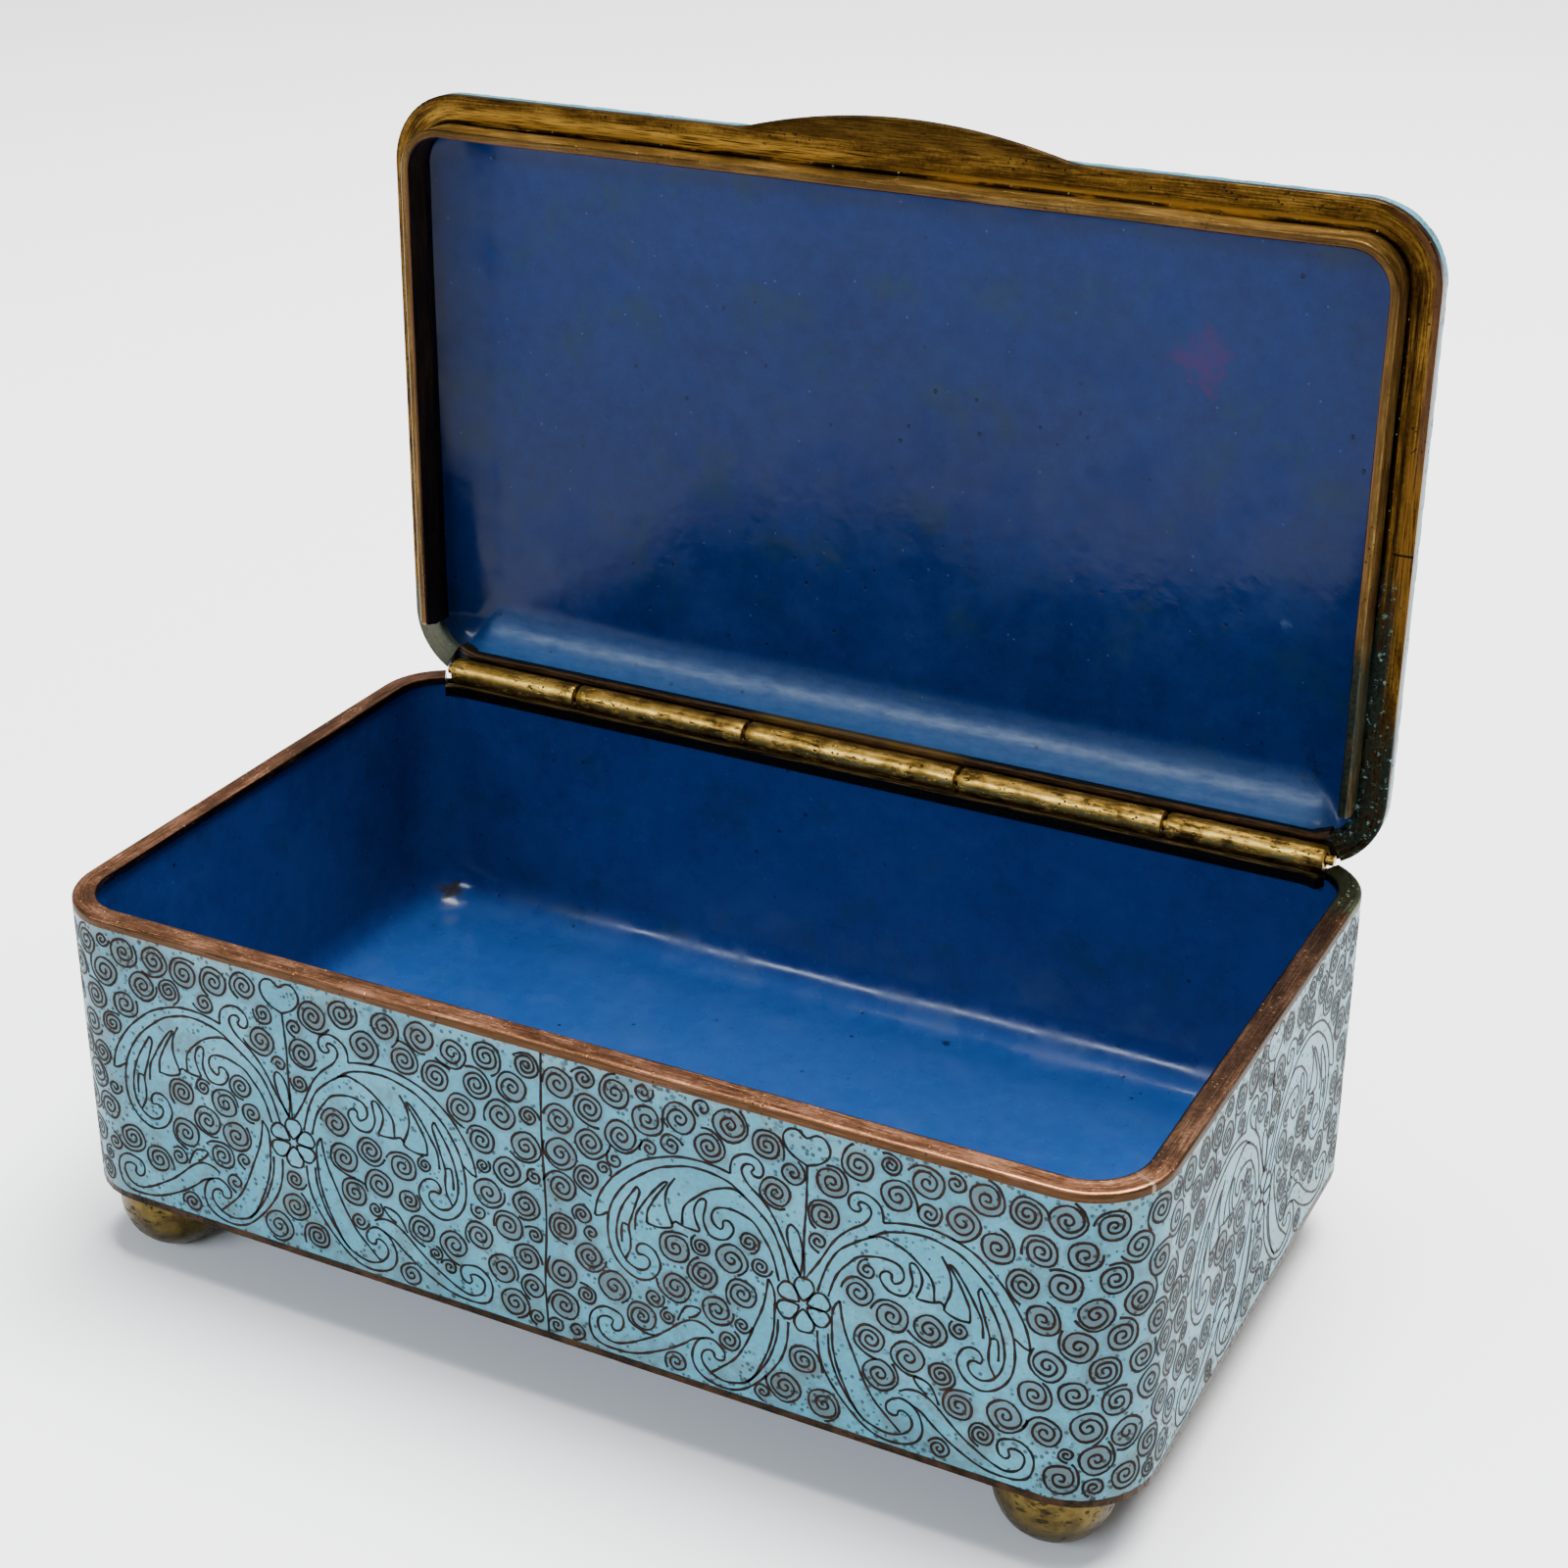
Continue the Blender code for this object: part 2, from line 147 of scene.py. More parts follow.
def piece(name, points, faces, material, body, replaces=(), lid=False, smooth=40,
          notes=None):
    """A mesh piece in millimetres that rides on a body. Notes are values at its points."""
    mesh = bpy.data.meshes.new(name)
    mesh.from_pydata((np.asarray(points, float) * MM).tolist(), [], faces)
    for label, values in (notes or {}).items():
        values = np.asarray(values, float)
        kind, field = ("FLOAT", "value") if values.ndim == 1 else ("FLOAT_VECTOR", "vector")
        mesh.attributes.new(label, kind, "POINT").data.foreach_set(field, values.ravel())
    if lid:
        mesh.transform(OPEN_LID)
    # Every face is turned outward
    loom = bmesh.new()
    loom.from_mesh(mesh)
    bmesh.ops.recalc_face_normals(loom, faces=loom.faces)
    loom.to_mesh(mesh)
    loom.free()
    mesh.materials.append(material)
    mesh.shade_smooth()
    mesh.set_sharp_from_angle(angle=radians(smooth))
    thing = bpy.data.objects.new(name, mesh)
    bpy.context.scene.collection.objects.link(thing)
    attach(thing, body)
    if replaces:
        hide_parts(*replaces)


def grid_faces(rows, columns, close_rows=False, close_columns=False):
    """Quads over a grid of points stored row by row."""
    faces = []
    for i in range(rows if close_rows else rows - 1):
        for j in range(columns if close_columns else columns - 1):
            a, b = i * columns, ((i + 1) % rows) * columns
            k = (j + 1) % columns
            faces.append((a + j, b + j, b + k, a + k))
    return faces


def bowl_faces(rows, n, behind, start=0):
    """Faces of a closed bowl: rows of n points and a tip, then the rings of n points behind
    it and their tip. Faces of the back begin at their point number start."""
    tip = rows * n
    last = tip - n
    faces = grid_faces(rows, n, close_columns=True)
    faces += [(last + j, tip, last + (j + 1) % n) for j in range(n)]
    rings = [0] + [tip + 1 + i * n for i in range(behind)]
    for j in range(n):
        k = (j + 1) % n
        back = [(a + j, a + k, b + k, b + j) for a, b in zip(rings, rings[1:])]
        back.append((rings[-1] + j, rings[-1] + k, rings[-1] + n))
        faces += [f[start:] + f[:start] for f in back]
    return faces


def ring_strip(name, profile, plane, side, material, body, replaces, lid=False):
    """A metal strip carried round the outline. profile(s) gives (inset, height) pairs,
    outer side first, and side says whether heights go up or down from the plane."""
    marks = rim_marks()
    sections = np.array([profile(s) for s in marks])
    count = sections.shape[1]
    inset, height = sections[:, :, 0].ravel(), sections[:, :, 1].ravel()
    s = np.repeat(marks, count)
    faces = grid_faces(len(marks), count, close_rows=True, close_columns=True)
    if side > 0:
        faces = [f[::-1] for f in faces]
    lay = np.stack([np.where(s > AROUND / 2, s - AROUND, s), inset, height], -1)
    piece(name, ring(s, inset, plane + side * height), faces, material, body, replaces,
          lid, notes={"lay": lay})


def turned(name, profile, centre, material, body, replaces, steps=48, axis="Z",
           dents=0.0, seed=0, bored=False):
    """A turned shape: (radius, height) pairs from top to bottom, spun about an axis. A bored
    one is a tube, whose last pair joins its first along the bore."""
    rows = []
    angle = np.linspace(0, 2 * pi, steps, endpoint=False)
    # The two ends of the waves are brought together where the turn closes
    fade = np.minimum(1, np.minimum(angle, 2 * pi - angle) / 0.5)
    for radius, height in profile:
        bump = 1 + dents * ripple(angle * 3 + 0.0, height + 0 * angle, seed, 3.1) / max(radius, 0.3)
        bump = 1 + (bump - 1) * fade
        a, b = radius * bump * np.cos(angle), radius * bump * np.sin(angle)
        rows.append(np.stack([a, b, height + 0 * angle], -1))
    points = np.concatenate(rows)
    faces = grid_faces(len(profile), steps, close_rows=bored, close_columns=True)
    if not bored:
        points = np.vstack([points, [[0, 0, profile[0][1]], [0, 0, profile[-1][1]]]])
        top, bottom = len(points) - 2, len(points) - 1
        last = (len(profile) - 1) * steps
        for j in range(steps):
            k = (j + 1) % steps
            faces += [(top, j, k), (bottom, last + k, last + j)]
    if axis == "X":
        points = points[:, [2, 0, 1]]
    piece(name, points + np.asarray(centre, float), faces, material, body, replaces)


# Materials

class Pin:
    """A shader value that takes part in sums."""

    def __init__(self, finish, socket):
        self.finish, self.socket = finish, socket

    def _sum(self, operation, *values):
        return self.finish.node("ShaderNodeMath", {"operation": operation},
                                dict(enumerate(values)))

    def __add__(self, other):
        return self._sum("ADD", self, other)

    __radd__ = __add__

    def __mul__(self, other):
        return self._sum("MULTIPLY", self, other)

    __rmul__ = __mul__

    def __sub__(self, other):
        return self._sum("SUBTRACT", self, other)

    def __rsub__(self, other):
        return self._sum("SUBTRACT", other, self)

    def __truediv__(self, other):
        return self._sum("DIVIDE", self, other)

    def size(self):
        return self._sum("ABSOLUTE", self)

    def least(self, other):
        return self._sum("MINIMUM", self, other)

    def most(self, other):
        return self._sum("MAXIMUM", self, other)

    def between(self, low, high):
        """0 below low, 1 above high, eased in between."""
        return self.finish.node("ShaderNodeMapRange",
                                {"interpolation_type": "SMOOTHSTEP", "clamp": True},
                                {"Value": self, "From Min": low, "From Max": high})

    def fade(self, low, high):
        """1 below low, 0 above high, eased in between."""
        return 1 - self.between(low, high)


class Finish:
    """A material and the few ways to add to it."""

    def __init__(self, name, roughness=0.4, metallic=0.0, colour=(0.5, 0.5, 0.5), **constants):
        self.material = bpy.data.materials.new(name)
        self.material.use_nodes = True
        self.tree = self.material.node_tree
        self.shader = self.tree.nodes["Principled BSDF"]
        values = {"Base Color": (*colour, 1), "Roughness": roughness, "Metallic": metallic}
        values.update(constants)
        for label, value in values.items():
            self.shader.inputs[label].default_value = value

    def node(self, kind, settings, inputs, out=0):
        """Any node: its type, its settings, then the values or links of its sockets."""
        made = self.tree.nodes.new(kind)
        for label, value in settings.items():
            if label == "stops":
                ramp = made.color_ramp
                while len(ramp.elements) < len(value):
                    ramp.elements.new(0.5)
                for element, (place, colour) in zip(ramp.elements, value):
                    element.position = place
                    element.color = (*colour, 1)
            else:
                setattr(made, label, value)
        for label, value in inputs.items():
            if isinstance(value, Pin):
                self.tree.links.new(value.socket, made.inputs[label])
            elif isinstance(value, tuple) and len(value) == 3 and \
                    made.inputs[label].type == "RGBA":
                made.inputs[label].default_value = (*value, 1)
            else:
                made.inputs[label].default_value = value
        return Pin(self, made.outputs[out])

    def place(self, stretch=(1, 1, 1)):
        """Millimetres in the box's frame, divided by a stretch along each axis."""
        at = self.node("ShaderNodeTexCoord", {}, {}, "Object")
        scale = tuple(1 / MM / v for v in stretch)
        return self.node("ShaderNodeVectorMath", {"operation": "MULTIPLY"}, {0: at, 1: scale})

    def spread(self, size, of):
        """Where a pattern is read: the box's frame or another vector, over its size."""
        size = size if isinstance(size, tuple) else (size, size, size)
        if of is None:
            return self.place(size)
        return self.node("ShaderNodeVectorMath", {"operation": "DIVIDE"}, {0: of, 1: size})

    def note(self, label, out="Fac"):
        """A value that the mesh carries."""
        return self.node("ShaderNodeAttribute", {"attribute_name": label}, {}, out)

    def parts(self, vector):
        """The three numbers of a vector."""
        made = self.tree.nodes.new("ShaderNodeSeparateXYZ")
        self.tree.links.new(vector.socket, made.inputs[0])
        return [Pin(self, made.outputs[i]) for i in range(3)]

    def noise(self, size, detail=3.0, rough=0.55, twist=0.0, of=None):
        """Soft noise of a size in millimetres, one for all axes or one for each."""
        return self.node("ShaderNodeTexNoise", {},
                         {"Vector": self.spread(size, of), "Scale": 1.0, "Detail": detail,
                          "Roughness": rough, "Distortion": twist})

    def dots(self, size, core, edge, of=None):
        """Scattered dots: 1 up to the core's reach, 0 from the edge's on."""
        away = self.node("ShaderNodeTexVoronoi", {"feature": "F1"},
                         {"Vector": self.spread(size, of), "Scale": 1.0, "Randomness": 1.0},
                         "Distance")
        return away.fade(core, edge)

    def blend(self, share, first, second):
        """Colour between two colours."""
        return self.node("ShaderNodeMix", {"data_type": "RGBA", "clamp_factor": True},
                         {0: share, 6: first, 7: second}, 2)

    def over(self, share, tint):
        """Lays a tint over the colour so far."""
        self.colour = self.blend(share, self.colour, tint)

    def spot(self, at, centre, reach, ragged):
        """1 at a place in the box's frame, down to 0 at about its reach."""
        gap = self.node("ShaderNodeVectorMath", {"operation": "DISTANCE"},
                        {0: at, 1: centre}, "Value")
        return (gap / reach + (ragged - 0.5) * 2.4).fade(0.3, 0.9)

    def stretch(self, along, low, high, ragged):
        """1 between two places along something, with ragged ends."""
        away = (along - (low + high) / 2).size() / ((high - low) / 2)
        return (away + (ragged - 0.5) * 0.9).fade(0.75, 1.1)

    def tones(self, value, *stops):
        """Sets the colour from a value by stops of place and colour."""
        self.colour = self.node("ShaderNodeValToRGB", {"stops": stops}, {"Fac": value}, "Color")

    def relief(self, height, depth):
        """Bump from a height, depth in millimetres."""
        return self.node("ShaderNodeBump", {},
                         {"Height": height, "Distance": depth * MM, "Strength": 1.0}, "Normal")

    def finish(self, roughness, normal=None, metallic=None, coat=None):
        for label, value in (("Base Color", self.colour), ("Roughness", roughness),
                             ("Normal", normal), ("Metallic", metallic), ("Coat Weight", coat)):
            if value is not None:
                self.tree.links.new(value.socket, self.shader.inputs[label])
        return self.material


def turquoise_enamel():
    """Matt-polished turquoise, clouded and pitted, greyed with dirt round the wires."""
    f = Finish("turquoise_enamel", **{"Specular IOR Level": 0.26})
    at = f.place()
    x, y, z = f.parts(at)
    cloud = f.noise(9, 4)
    fine = f.noise(0.55, 4, 0.65)
    f.tones(cloud * 0.55 + fine * 0.45, (0.3, (0.016, 0.130, 0.185)),
            (0.5, (0.032, 0.190, 0.260)), (0.72, (0.085, 0.265, 0.330)))
    mouth = (z - (RIM_PLANE - 1)).size().fade(0.4, 3.4)
    chalk = mouth * f.noise((4, 4, 2), 4, 0.6).between(0.42, 0.62)
    f.over(chalk * 0.45, (0.14, 0.20, 0.19))
    patchy = f.noise(10, 3).between(0.35, 0.6)
    dirt = (f.note("grime") * (0.50 + 0.75 * fine) * (0.62 + 0.38 * patchy)).least(1.0)
    f.over(dirt * 0.78, (0.048, 0.037, 0.030))
    low_left = (z - BASE_TOP).fade(1, 9).most((x + 60).fade(4, 22))
    veil = (f.noise(3.2, 5, 0.7) + low_left * 0.10).between(0.50, 0.70)
    f.over(veil * 0.50, (0.046, 0.055, 0.044))
    pits = f.dots(0.8, 0.10, 0.19) * f.noise(5, 2).between(0.48, 0.62)
    pepper = f.dots(0.78, 0.22, 0.34)
    pepper = pepper * (f.noise(3.0, 4, 0.65) + low_left * 0.05
                       + mouth * 0.10).between(0.46, 0.56)
    rim = (z - (RIM_PLANE - 1)).size()
    edge = rim.least((z - BASE_TOP).size()).fade(0.2, 2.6)
    worn_corner = f.stretch(x, -60.0, -42.0, fine) * (y + 37).fade(2, 9) * z.between(22, 29)
    edge = edge.most(worn_corner * 0.9)
    chips = f.dots(1.0, 0.2, 0.42) * edge * f.noise(5, 3).between(0.44, 0.58)
    holes = pits.most(pepper * 0.85).most(chips)
    f.over(holes * 0.92, (0.006, 0.004, 0.003))
    rough = 0.24 + 0.2 * fine + 0.25 * dirt + 0.3 * holes
    bump = f.relief(fine * 0.5 + cloud - holes * 2, 0.035)
    return f.finish(rough, bump)


def blue_enamel(name, deep, light, seed, gloss, dull, marks):
    """Glossy cobalt enamel, mottled and cloudy, a little uneven, with marks at places, its low
    floor painted paler for light from above and its marked cove painted paler as a highlight.
    """
    f = Finish(name, **{"Specular IOR Level": gloss, "Coat Roughness": 0.36})
    at = f.place()
    shifted = f.node("ShaderNodeVectorMath", {"operation": "ADD"}, {0: at, 1: (seed, 2 * seed, 0)})
    cloud = f.noise(16, 4, of=shifted)
    mottle = f.noise(2.2, 4, 0.7, of=shifted)
    grain = f.noise(0.45, 3, 0.75, of=shifted)
    f.tones(cloud * 0.35 + mottle * 0.4 + grain * 0.25, (0.36, deep), (0.64, light))
    green = f.noise(9, 5, 0.65, of=shifted).between(0.52, 0.70)
    f.over(green * 0.5, (0.006, 0.024, 0.040))
    violet = f.noise(12, 4, 0.6, of=shifted).between(0.36, 0.22)
    f.over(violet * 0.4, (0.016, 0.020, 0.090))
    bowl = f.note("bowl")
    # Painted light: the inside floor, which faces up, is painted a paler, brighter blue than the
    # walls for the light from above
    floor = f.parts(at)[2].fade(0.4, 3.0)
    f.over(floor * 0.6, f.blend(mottle, (0.006, 0.045, 0.190), (0.014, 0.082, 0.270)))
    # Painted highlight: where the mesh marks the bowl of the lid's cove, a paler blue is painted in
    # for the light that cove catches
    painted_cove_highlight = f.blend(mottle, (0.010, 0.055, 0.175), (0.036, 0.125, 0.290))
    f.over(bowl * 0.8, painted_cove_highlight)
    rare = f.noise(20, 2, of=shifted).between(0.45, 0.6)
    specks = f.dots(2.9, 0.055, 0.11, of=shifted) * rare
    f.over(specks * 0.8, (0.003, 0.004, 0.005))
    pale = f.dots(2.7, 0.03, 0.07, of=shifted)
    scuffs = f.noise((4.0, 0.35, 0.5), 4, 0.7, 1.5, of=shifted).between(0.66, 0.74) * rare
    f.over((pale * 0.4).most(scuffs * 0.22), (0.06, 0.11, 0.20))
    for centre, reach, tint, strength in marks:
        f.over(f.spot(at, centre, reach, mottle) * strength, tint)
    haze = f.noise(8, 4, 0.6, of=shifted)
    rough = dull * (0.5 + 1.6 * haze.between(0.35, 0.75) + 0.6 * grain) + 0.28 * bowl
    peel = f.noise(1.6, 3, 0.6, of=shifted)
    sag = f.noise(9, 3, 0.6, of=shifted)
    bump = f.relief(peel * 0.8 + sag * 3.0 - specks, 0.02)
    streaky = f.noise((3.0, 0.9, 0.7), 4, 0.7, of=shifted).between(0.25, 0.72)
    return f.finish(rough, bump, coat=bowl * (0.25 + 0.85 * streaky))


def strip_metal(name, gold, brown, dark, worn, roughness):
    """Tarnished strip: broad stains, fine lines that run along it, cracks and pits."""
    f = Finish(name, metallic=1.0, **{"Specular IOR Level": 0.08})
    lay = f.note("lay", "Vector")
    along, across, up = f.parts(lay)
    stain = f.noise((9.0, 2.4, 2.4), 5, 0.62, of=lay)
    line = f.noise((5.0, 0.18, 0.18), 4, 0.6, of=lay)
    fine = f.noise(0.45, 3, 0.7)
    f.tones(stain * 0.42 + line * 0.42 + fine * 0.16, (0.41, brown), (0.5, gold), (0.59, worn))
    cracks = f.noise((7.0, 0.22, 0.22), 4, 0.75, 0.4, of=lay).between(0.59, 0.65)
    cracks = cracks * f.noise((14.0, 3.0, 3.0), 2, of=lay).between(0.44, 0.56)
    pits = f.dots(0.7, 0.13, 0.24) * f.noise(3.5, 3).between(0.50, 0.62)
    dirt = cracks.most(pits)
    f.over(dirt * 0.92, dark)
    rough = roughness + 0.22 * stain + 0.12 * fine + 0.25 * dirt
    bump = f.relief(stain * 0.6 + line * 0.3 + fine * 0.3 - dirt * 0.9, 0.06)
    return f, rough, bump, 1 - 0.8 * dirt, (along, across, up), (stain, line, fine)


def body_rim_copper():
    """Brown copper, dull on its outer side, darker at the right, with painted shade on its inner
    edge and painted black shade in the gutter under the hinge.
    """
    f, rough, bump, metal, (along, across, up), (stain, line, fine) = strip_metal(
        "body_rim_copper", (0.225, 0.096, 0.043), (0.115, 0.050, 0.023), (0.010, 0.006, 0.004),
        (0.45, 0.215, 0.120), 0.17)
    right = f.stretch(along, 64.0, 142.0, stain)
    f.over(right * 0.65, (0.045, 0.030, 0.018))
    side = across.fade(0.02, 0.16)
    f.over(side * (0.60 + 0.35 * fine),
           f.blend(stain.between(0.4, 0.6), (0.026, 0.015, 0.006), (0.012, 0.008, 0.004)))
    green = f.stretch(along, 122.0, 141.0, stain) * stain.between(0.32, 0.48)
    f.over(green * 0.9, (0.080, 0.100, 0.052))
    seam = (along - 64.5).size().fade(0.12, 0.3)
    f.over(seam * 0.6, (0.30, 0.22, 0.15))
    # Painted shade: the rim's inner edge is painted near black for the shade on it
    inner = across.between(2.35, 2.5)
    f.over(inner * 0.85, (0.008, 0.006, 0.005))
    # Painted shade: the gutter under the hinge is painted near black for the shade round the
    # barrels, leaving a thin brass line on its lip
    gutter = along.size().between(AROUND / 2 - BAR_HALF - 0.3, AROUND / 2 - BAR_HALF)
    lip = across.between(2.60, 2.75) * up.fade(0.90, 1.0)
    f.over(gutter, f.blend(lip * line.between(0.42, 0.6), (0.004, 0.003, 0.002),
                           (0.070, 0.044, 0.013)))
    return f.finish(rough + 0.25 * side, bump, metal * (1 - 0.5 * gutter))


def lid_rim_brass():
    """Dark golden brass with black lines, painted highlights at places, painted shade in the
    gutter, green where it got wet.
    """
    f, rough, bump, metal, (along, across, up), (stain, line, fine) = strip_metal(
        "lid_rim_brass", (0.058, 0.028, 0.0045), (0.016, 0.007, 0.0018), (0.002, 0.0015, 0.001),
        (0.150, 0.078, 0.013), 0.20)
    # Painted highlights: bright gold streaks over the mating face on the left half of the front and
    # near its inner edge on the right half
    bright = f.stretch(along, -60.0, -2.0, stain) * across.between(0.9, 1.9)
    bright = bright * line.between(0.36, 0.54)
    bright = bright.most(f.stretch(along, 2.0, 60.0, stain) * across.between(2.2, 2.8) * 0.9)
    f.over(bright * 0.85, (0.36, 0.19, 0.028))
    orange = f.stretch(along, 84.0, 108.0, stain) * across.fade(1.3, 2.1)
    f.over(orange * line.between(0.38, 0.55) * 0.7, (0.10, 0.046, 0.008))
    pink = f.stretch(along, 60.0, 88.0, stain) * across.fade(0.5, 1.0)
    f.over(pink * 0.7, (0.045, 0.020, 0.013))
    scar = f.stretch(along, 66.0, 104.0, stain) * (across - 2.15).size().fade(0.10, 0.35)
    root = across.between(2.75, 2.95) * stain.between(0.38, 0.50)
    tab = across.fade(-0.4, 0.5)
    f.over(tab * 0.62, (0.020, 0.010, 0.0022))
    black = (scar * line.between(0.42, 0.54)).most(root)
    seam = (along - 96.8).size().fade(0.06, 0.2) * across.fade(2.2, 2.4)
    f.over(black.most(seam) * 0.92, (0.002, 0.0015, 0.001))
    specks = f.dots(0.55, 0.16, 0.24) * root * fine.between(0.5, 0.6)
    f.over(specks * 0.9, (0.5, 0.5, 0.42))
    wet = f.stretch(along, 99.0, 138.0, line)
    reach_out = across.between(0.9, 1.9).most(along.between(113.0, 119.0))
    rot = wet * reach_out * (stain * 0.5 + line * 0.3 + fine * 0.2).between(0.40, 0.52)
    f.over(rot * 0.95, f.blend(fine.between(0.35, 0.65), (0.0006, 0.0014, 0.0011),
                               (0.0040, 0.0150, 0.0115)))
    salts = wet * reach_out * f.noise(0.8, 4, 0.7).between(0.59, 0.67)
    f.over(salts * 0.8, (0.16, 0.26, 0.22))
    pale = f.stretch(along, -141.0, -122.0, stain)
    f.over(pale * 0.8, f.blend(fine, (0.035, 0.042, 0.028), (0.10, 0.115, 0.085)))
    # Painted shade: along the gutter under the hinge the lining is painted near black, golden only
    # behind the middle barrel where it lies open
    gutter = along.size().between(AROUND / 2 - BAR_HALF - 0.3, AROUND / 2 - BAR_HALF)
    x = f.parts(f.place())[0]
    open_part = f.stretch(x, -15.5, 13.5, stain * 0.2 + 0.4)
    lining = f.blend(open_part, f.blend(fine, (0.004, 0.003, 0.0015), (0.022, 0.020, 0.009)),
                     (0.13, 0.080, 0.018))
    lip = across.between(2.60, 2.75) * up.fade(0.90, 1.0) * line.between(0.40, 0.55)
    lining = f.blend(lip * 0.9, lining, (0.085, 0.045, 0.026))
    f.over(gutter, lining)
    stone = rot.most(pale) * 0.7
    return f.finish(rough + 0.2 * stone, bump, metal * (1 - stone) * (1 - 0.3 * gutter))


def flange_brass():
    """Brighter brass, worn along its edge, black at its root, with a painted highlight on its face
    and painted black shade on its inner face.
    """
    f, rough, bump, metal, (along, across, up), (stain, line, fine) = strip_metal(
        "lid_flange_brass", (0.150, 0.080, 0.016), (0.050, 0.022, 0.006), (0.003, 0.002, 0.001),
        (0.34, 0.20, 0.055), 0.20)
    edge = up.fade(-4.0, -3.7)
    f.over(edge * 0.75, (0.036, 0.020, 0.007))
    f.over(edge * across.between(3.95, 4.15) * 0.8, (0.085, 0.040, 0.026))
    # Painted shade: the flange's inner face is painted near black for the shade on it
    inside = across.between(4.05, 4.2) * (1 - edge)
    f.over(inside * 0.93, (0.003, 0.002, 0.002))
    root = up.between(-0.55, -0.1) * stain.between(0.36, 0.5)
    f.over(root * 0.9, (0.003, 0.002, 0.001))
    # Painted highlight: a bright gold streak along the front part of the flange's face
    painted_highlight = f.stretch(along, 2.0, 62.0, stain) * up.between(-2.6, -1.4)
    f.over(painted_highlight * line.between(0.4, 0.5) * 0.8, (0.30, 0.18, 0.045))
    wet = f.stretch(along, 105.0, 136.0, stain)
    f.over(wet * stain.between(0.38, 0.5) * 0.9,
           f.blend(fine.between(0.35, 0.65), (0.0012, 0.0035, 0.003), (0.007, 0.019, 0.014)))
    return f.finish(rough, bump, metal * (1 - wet * 0.5) * (1 - 0.6 * inside))


def cast_brass(name, gold, dull, dark, roughness, streaks):
    """Dull yellow brass with pits and grime, for turned pieces."""
    f = Finish(name, metallic=1.0, **{"Specular IOR Level": 0.08})
    wear = f.noise(2.6, 4, 0.6)
    fine = f.noise(0.5, 4, 0.7)
    streak = f.noise((5, 0.35, 0.35), 4, 0.7)
    f.tones(wear * (1 - streaks) + streak * streaks, (0.38, dark), (0.47, dull), (0.60, gold))
    pits = f.dots(0.9, 0.1, 0.22) * f.noise(4, 2).between(0.45, 0.6)
    crust = f.noise((2.2, 0.7, 0.7), 5, 0.7).between(0.56, 0.64)
    dirt = pits.most(crust * 0.9)
    f.over(dirt * 0.9, (0.010, 0.008, 0.005))
    rough = roughness + 0.22 * fine + 0.3 * dirt
    bump = f.relief(wear + fine * 0.35 - dirt, 0.07)
    return f.finish(rough, bump, 1 - 0.7 * dirt)


def wire_copper():
    """The wires' polished tops, gone dark brown."""
    f = Finish("wire_copper", **{"Specular IOR Level": 0.04})
    tone = f.noise(1.4, 3, 0.6)
    broad = f.noise(14, 2)
    f.tones(tone * 0.6 + broad * 0.4, (0.35, (0.0070, 0.0036, 0.0028)),
            (0.55, (0.0170, 0.0085, 0.0064)), (0.75, (0.045, 0.021, 0.015)))
    return f.finish(0.4 + 0.2 * tone)


# Wirework: strokes of the leaf scroll in millimetres outward from and above the flower

ARM_AND_CURL = [
    (0.3, 3.3), (1.7, 5.7), (3.2, 8.6), (4.7, 10.4), (6.3, 11.7), (7.0, 12.8), (7.0, 13.5),
    (6.6, 14.0), (5.9, 14.1), (5.7, 13.7), (6.0, 13.3), (5.7, 12.9), (5.1, 12.9), (4.7, 13.4),
    (4.7, 14.2), (5.2, 14.9), (6.2, 15.2), (7.2, 14.9), (8.0, 14.2), (8.3, 13.2), (8.3, 12.4)]
ARM_BACK = [
    (8.3, 12.4), (10.0, 12.8), (12.0, 13.0), (14.0, 12.9), (16.1, 12.3), (18.0, 11.4),
    (19.6, 10.1), (21.0, 8.7), (22.2, 7.0), (23.0, 5.5), (23.4, 4.2), (23.6, 3.0)]
ARM_TIP = [
    (23.6, 3.0), (23.0, 3.1), (22.0, 3.8)]
ARM_INNER = [
    (1.5, 2.1), (2.2, 4.6), (2.8, 6.1), (3.8, 7.8), (5.5, 9.3), (6.8, 10.2), (8.2, 11.2),
    (9.6, 11.7), (11.3, 12.0), (13.0, 12.0), (14.6, 11.6), (16.2, 11.0), (18.0, 9.7),
    (19.6, 8.2), (20.6, 6.8), (21.4, 5.3), (21.9, 3.8), (22.1, 2.3), (22.1, 0.8), (21.8, -0.7),
    (21.1, -2.0), (20.0, -3.0), (18.7, -3.4), (17.4, -2.9), (16.6, -2.0), (16.2, -0.9),
    (16.4, 0.0), (16.9, 0.8), (17.7, 1.2), (18.5, 1.0), (18.9, 0.3), (18.7, -0.3), (18.2, -0.2),
    (17.6, -0.4), (17.4, -1.0), (17.8, -1.8), (18.7, -2.2), (19.7, -1.9), (20.3, -1.3),
    (20.8, -0.4), (21.1, 1.0), (21.0, 2.6), (20.6, 4.2), (20.0, 5.6), (19.3, 6.8), (18.5, 8.1)]
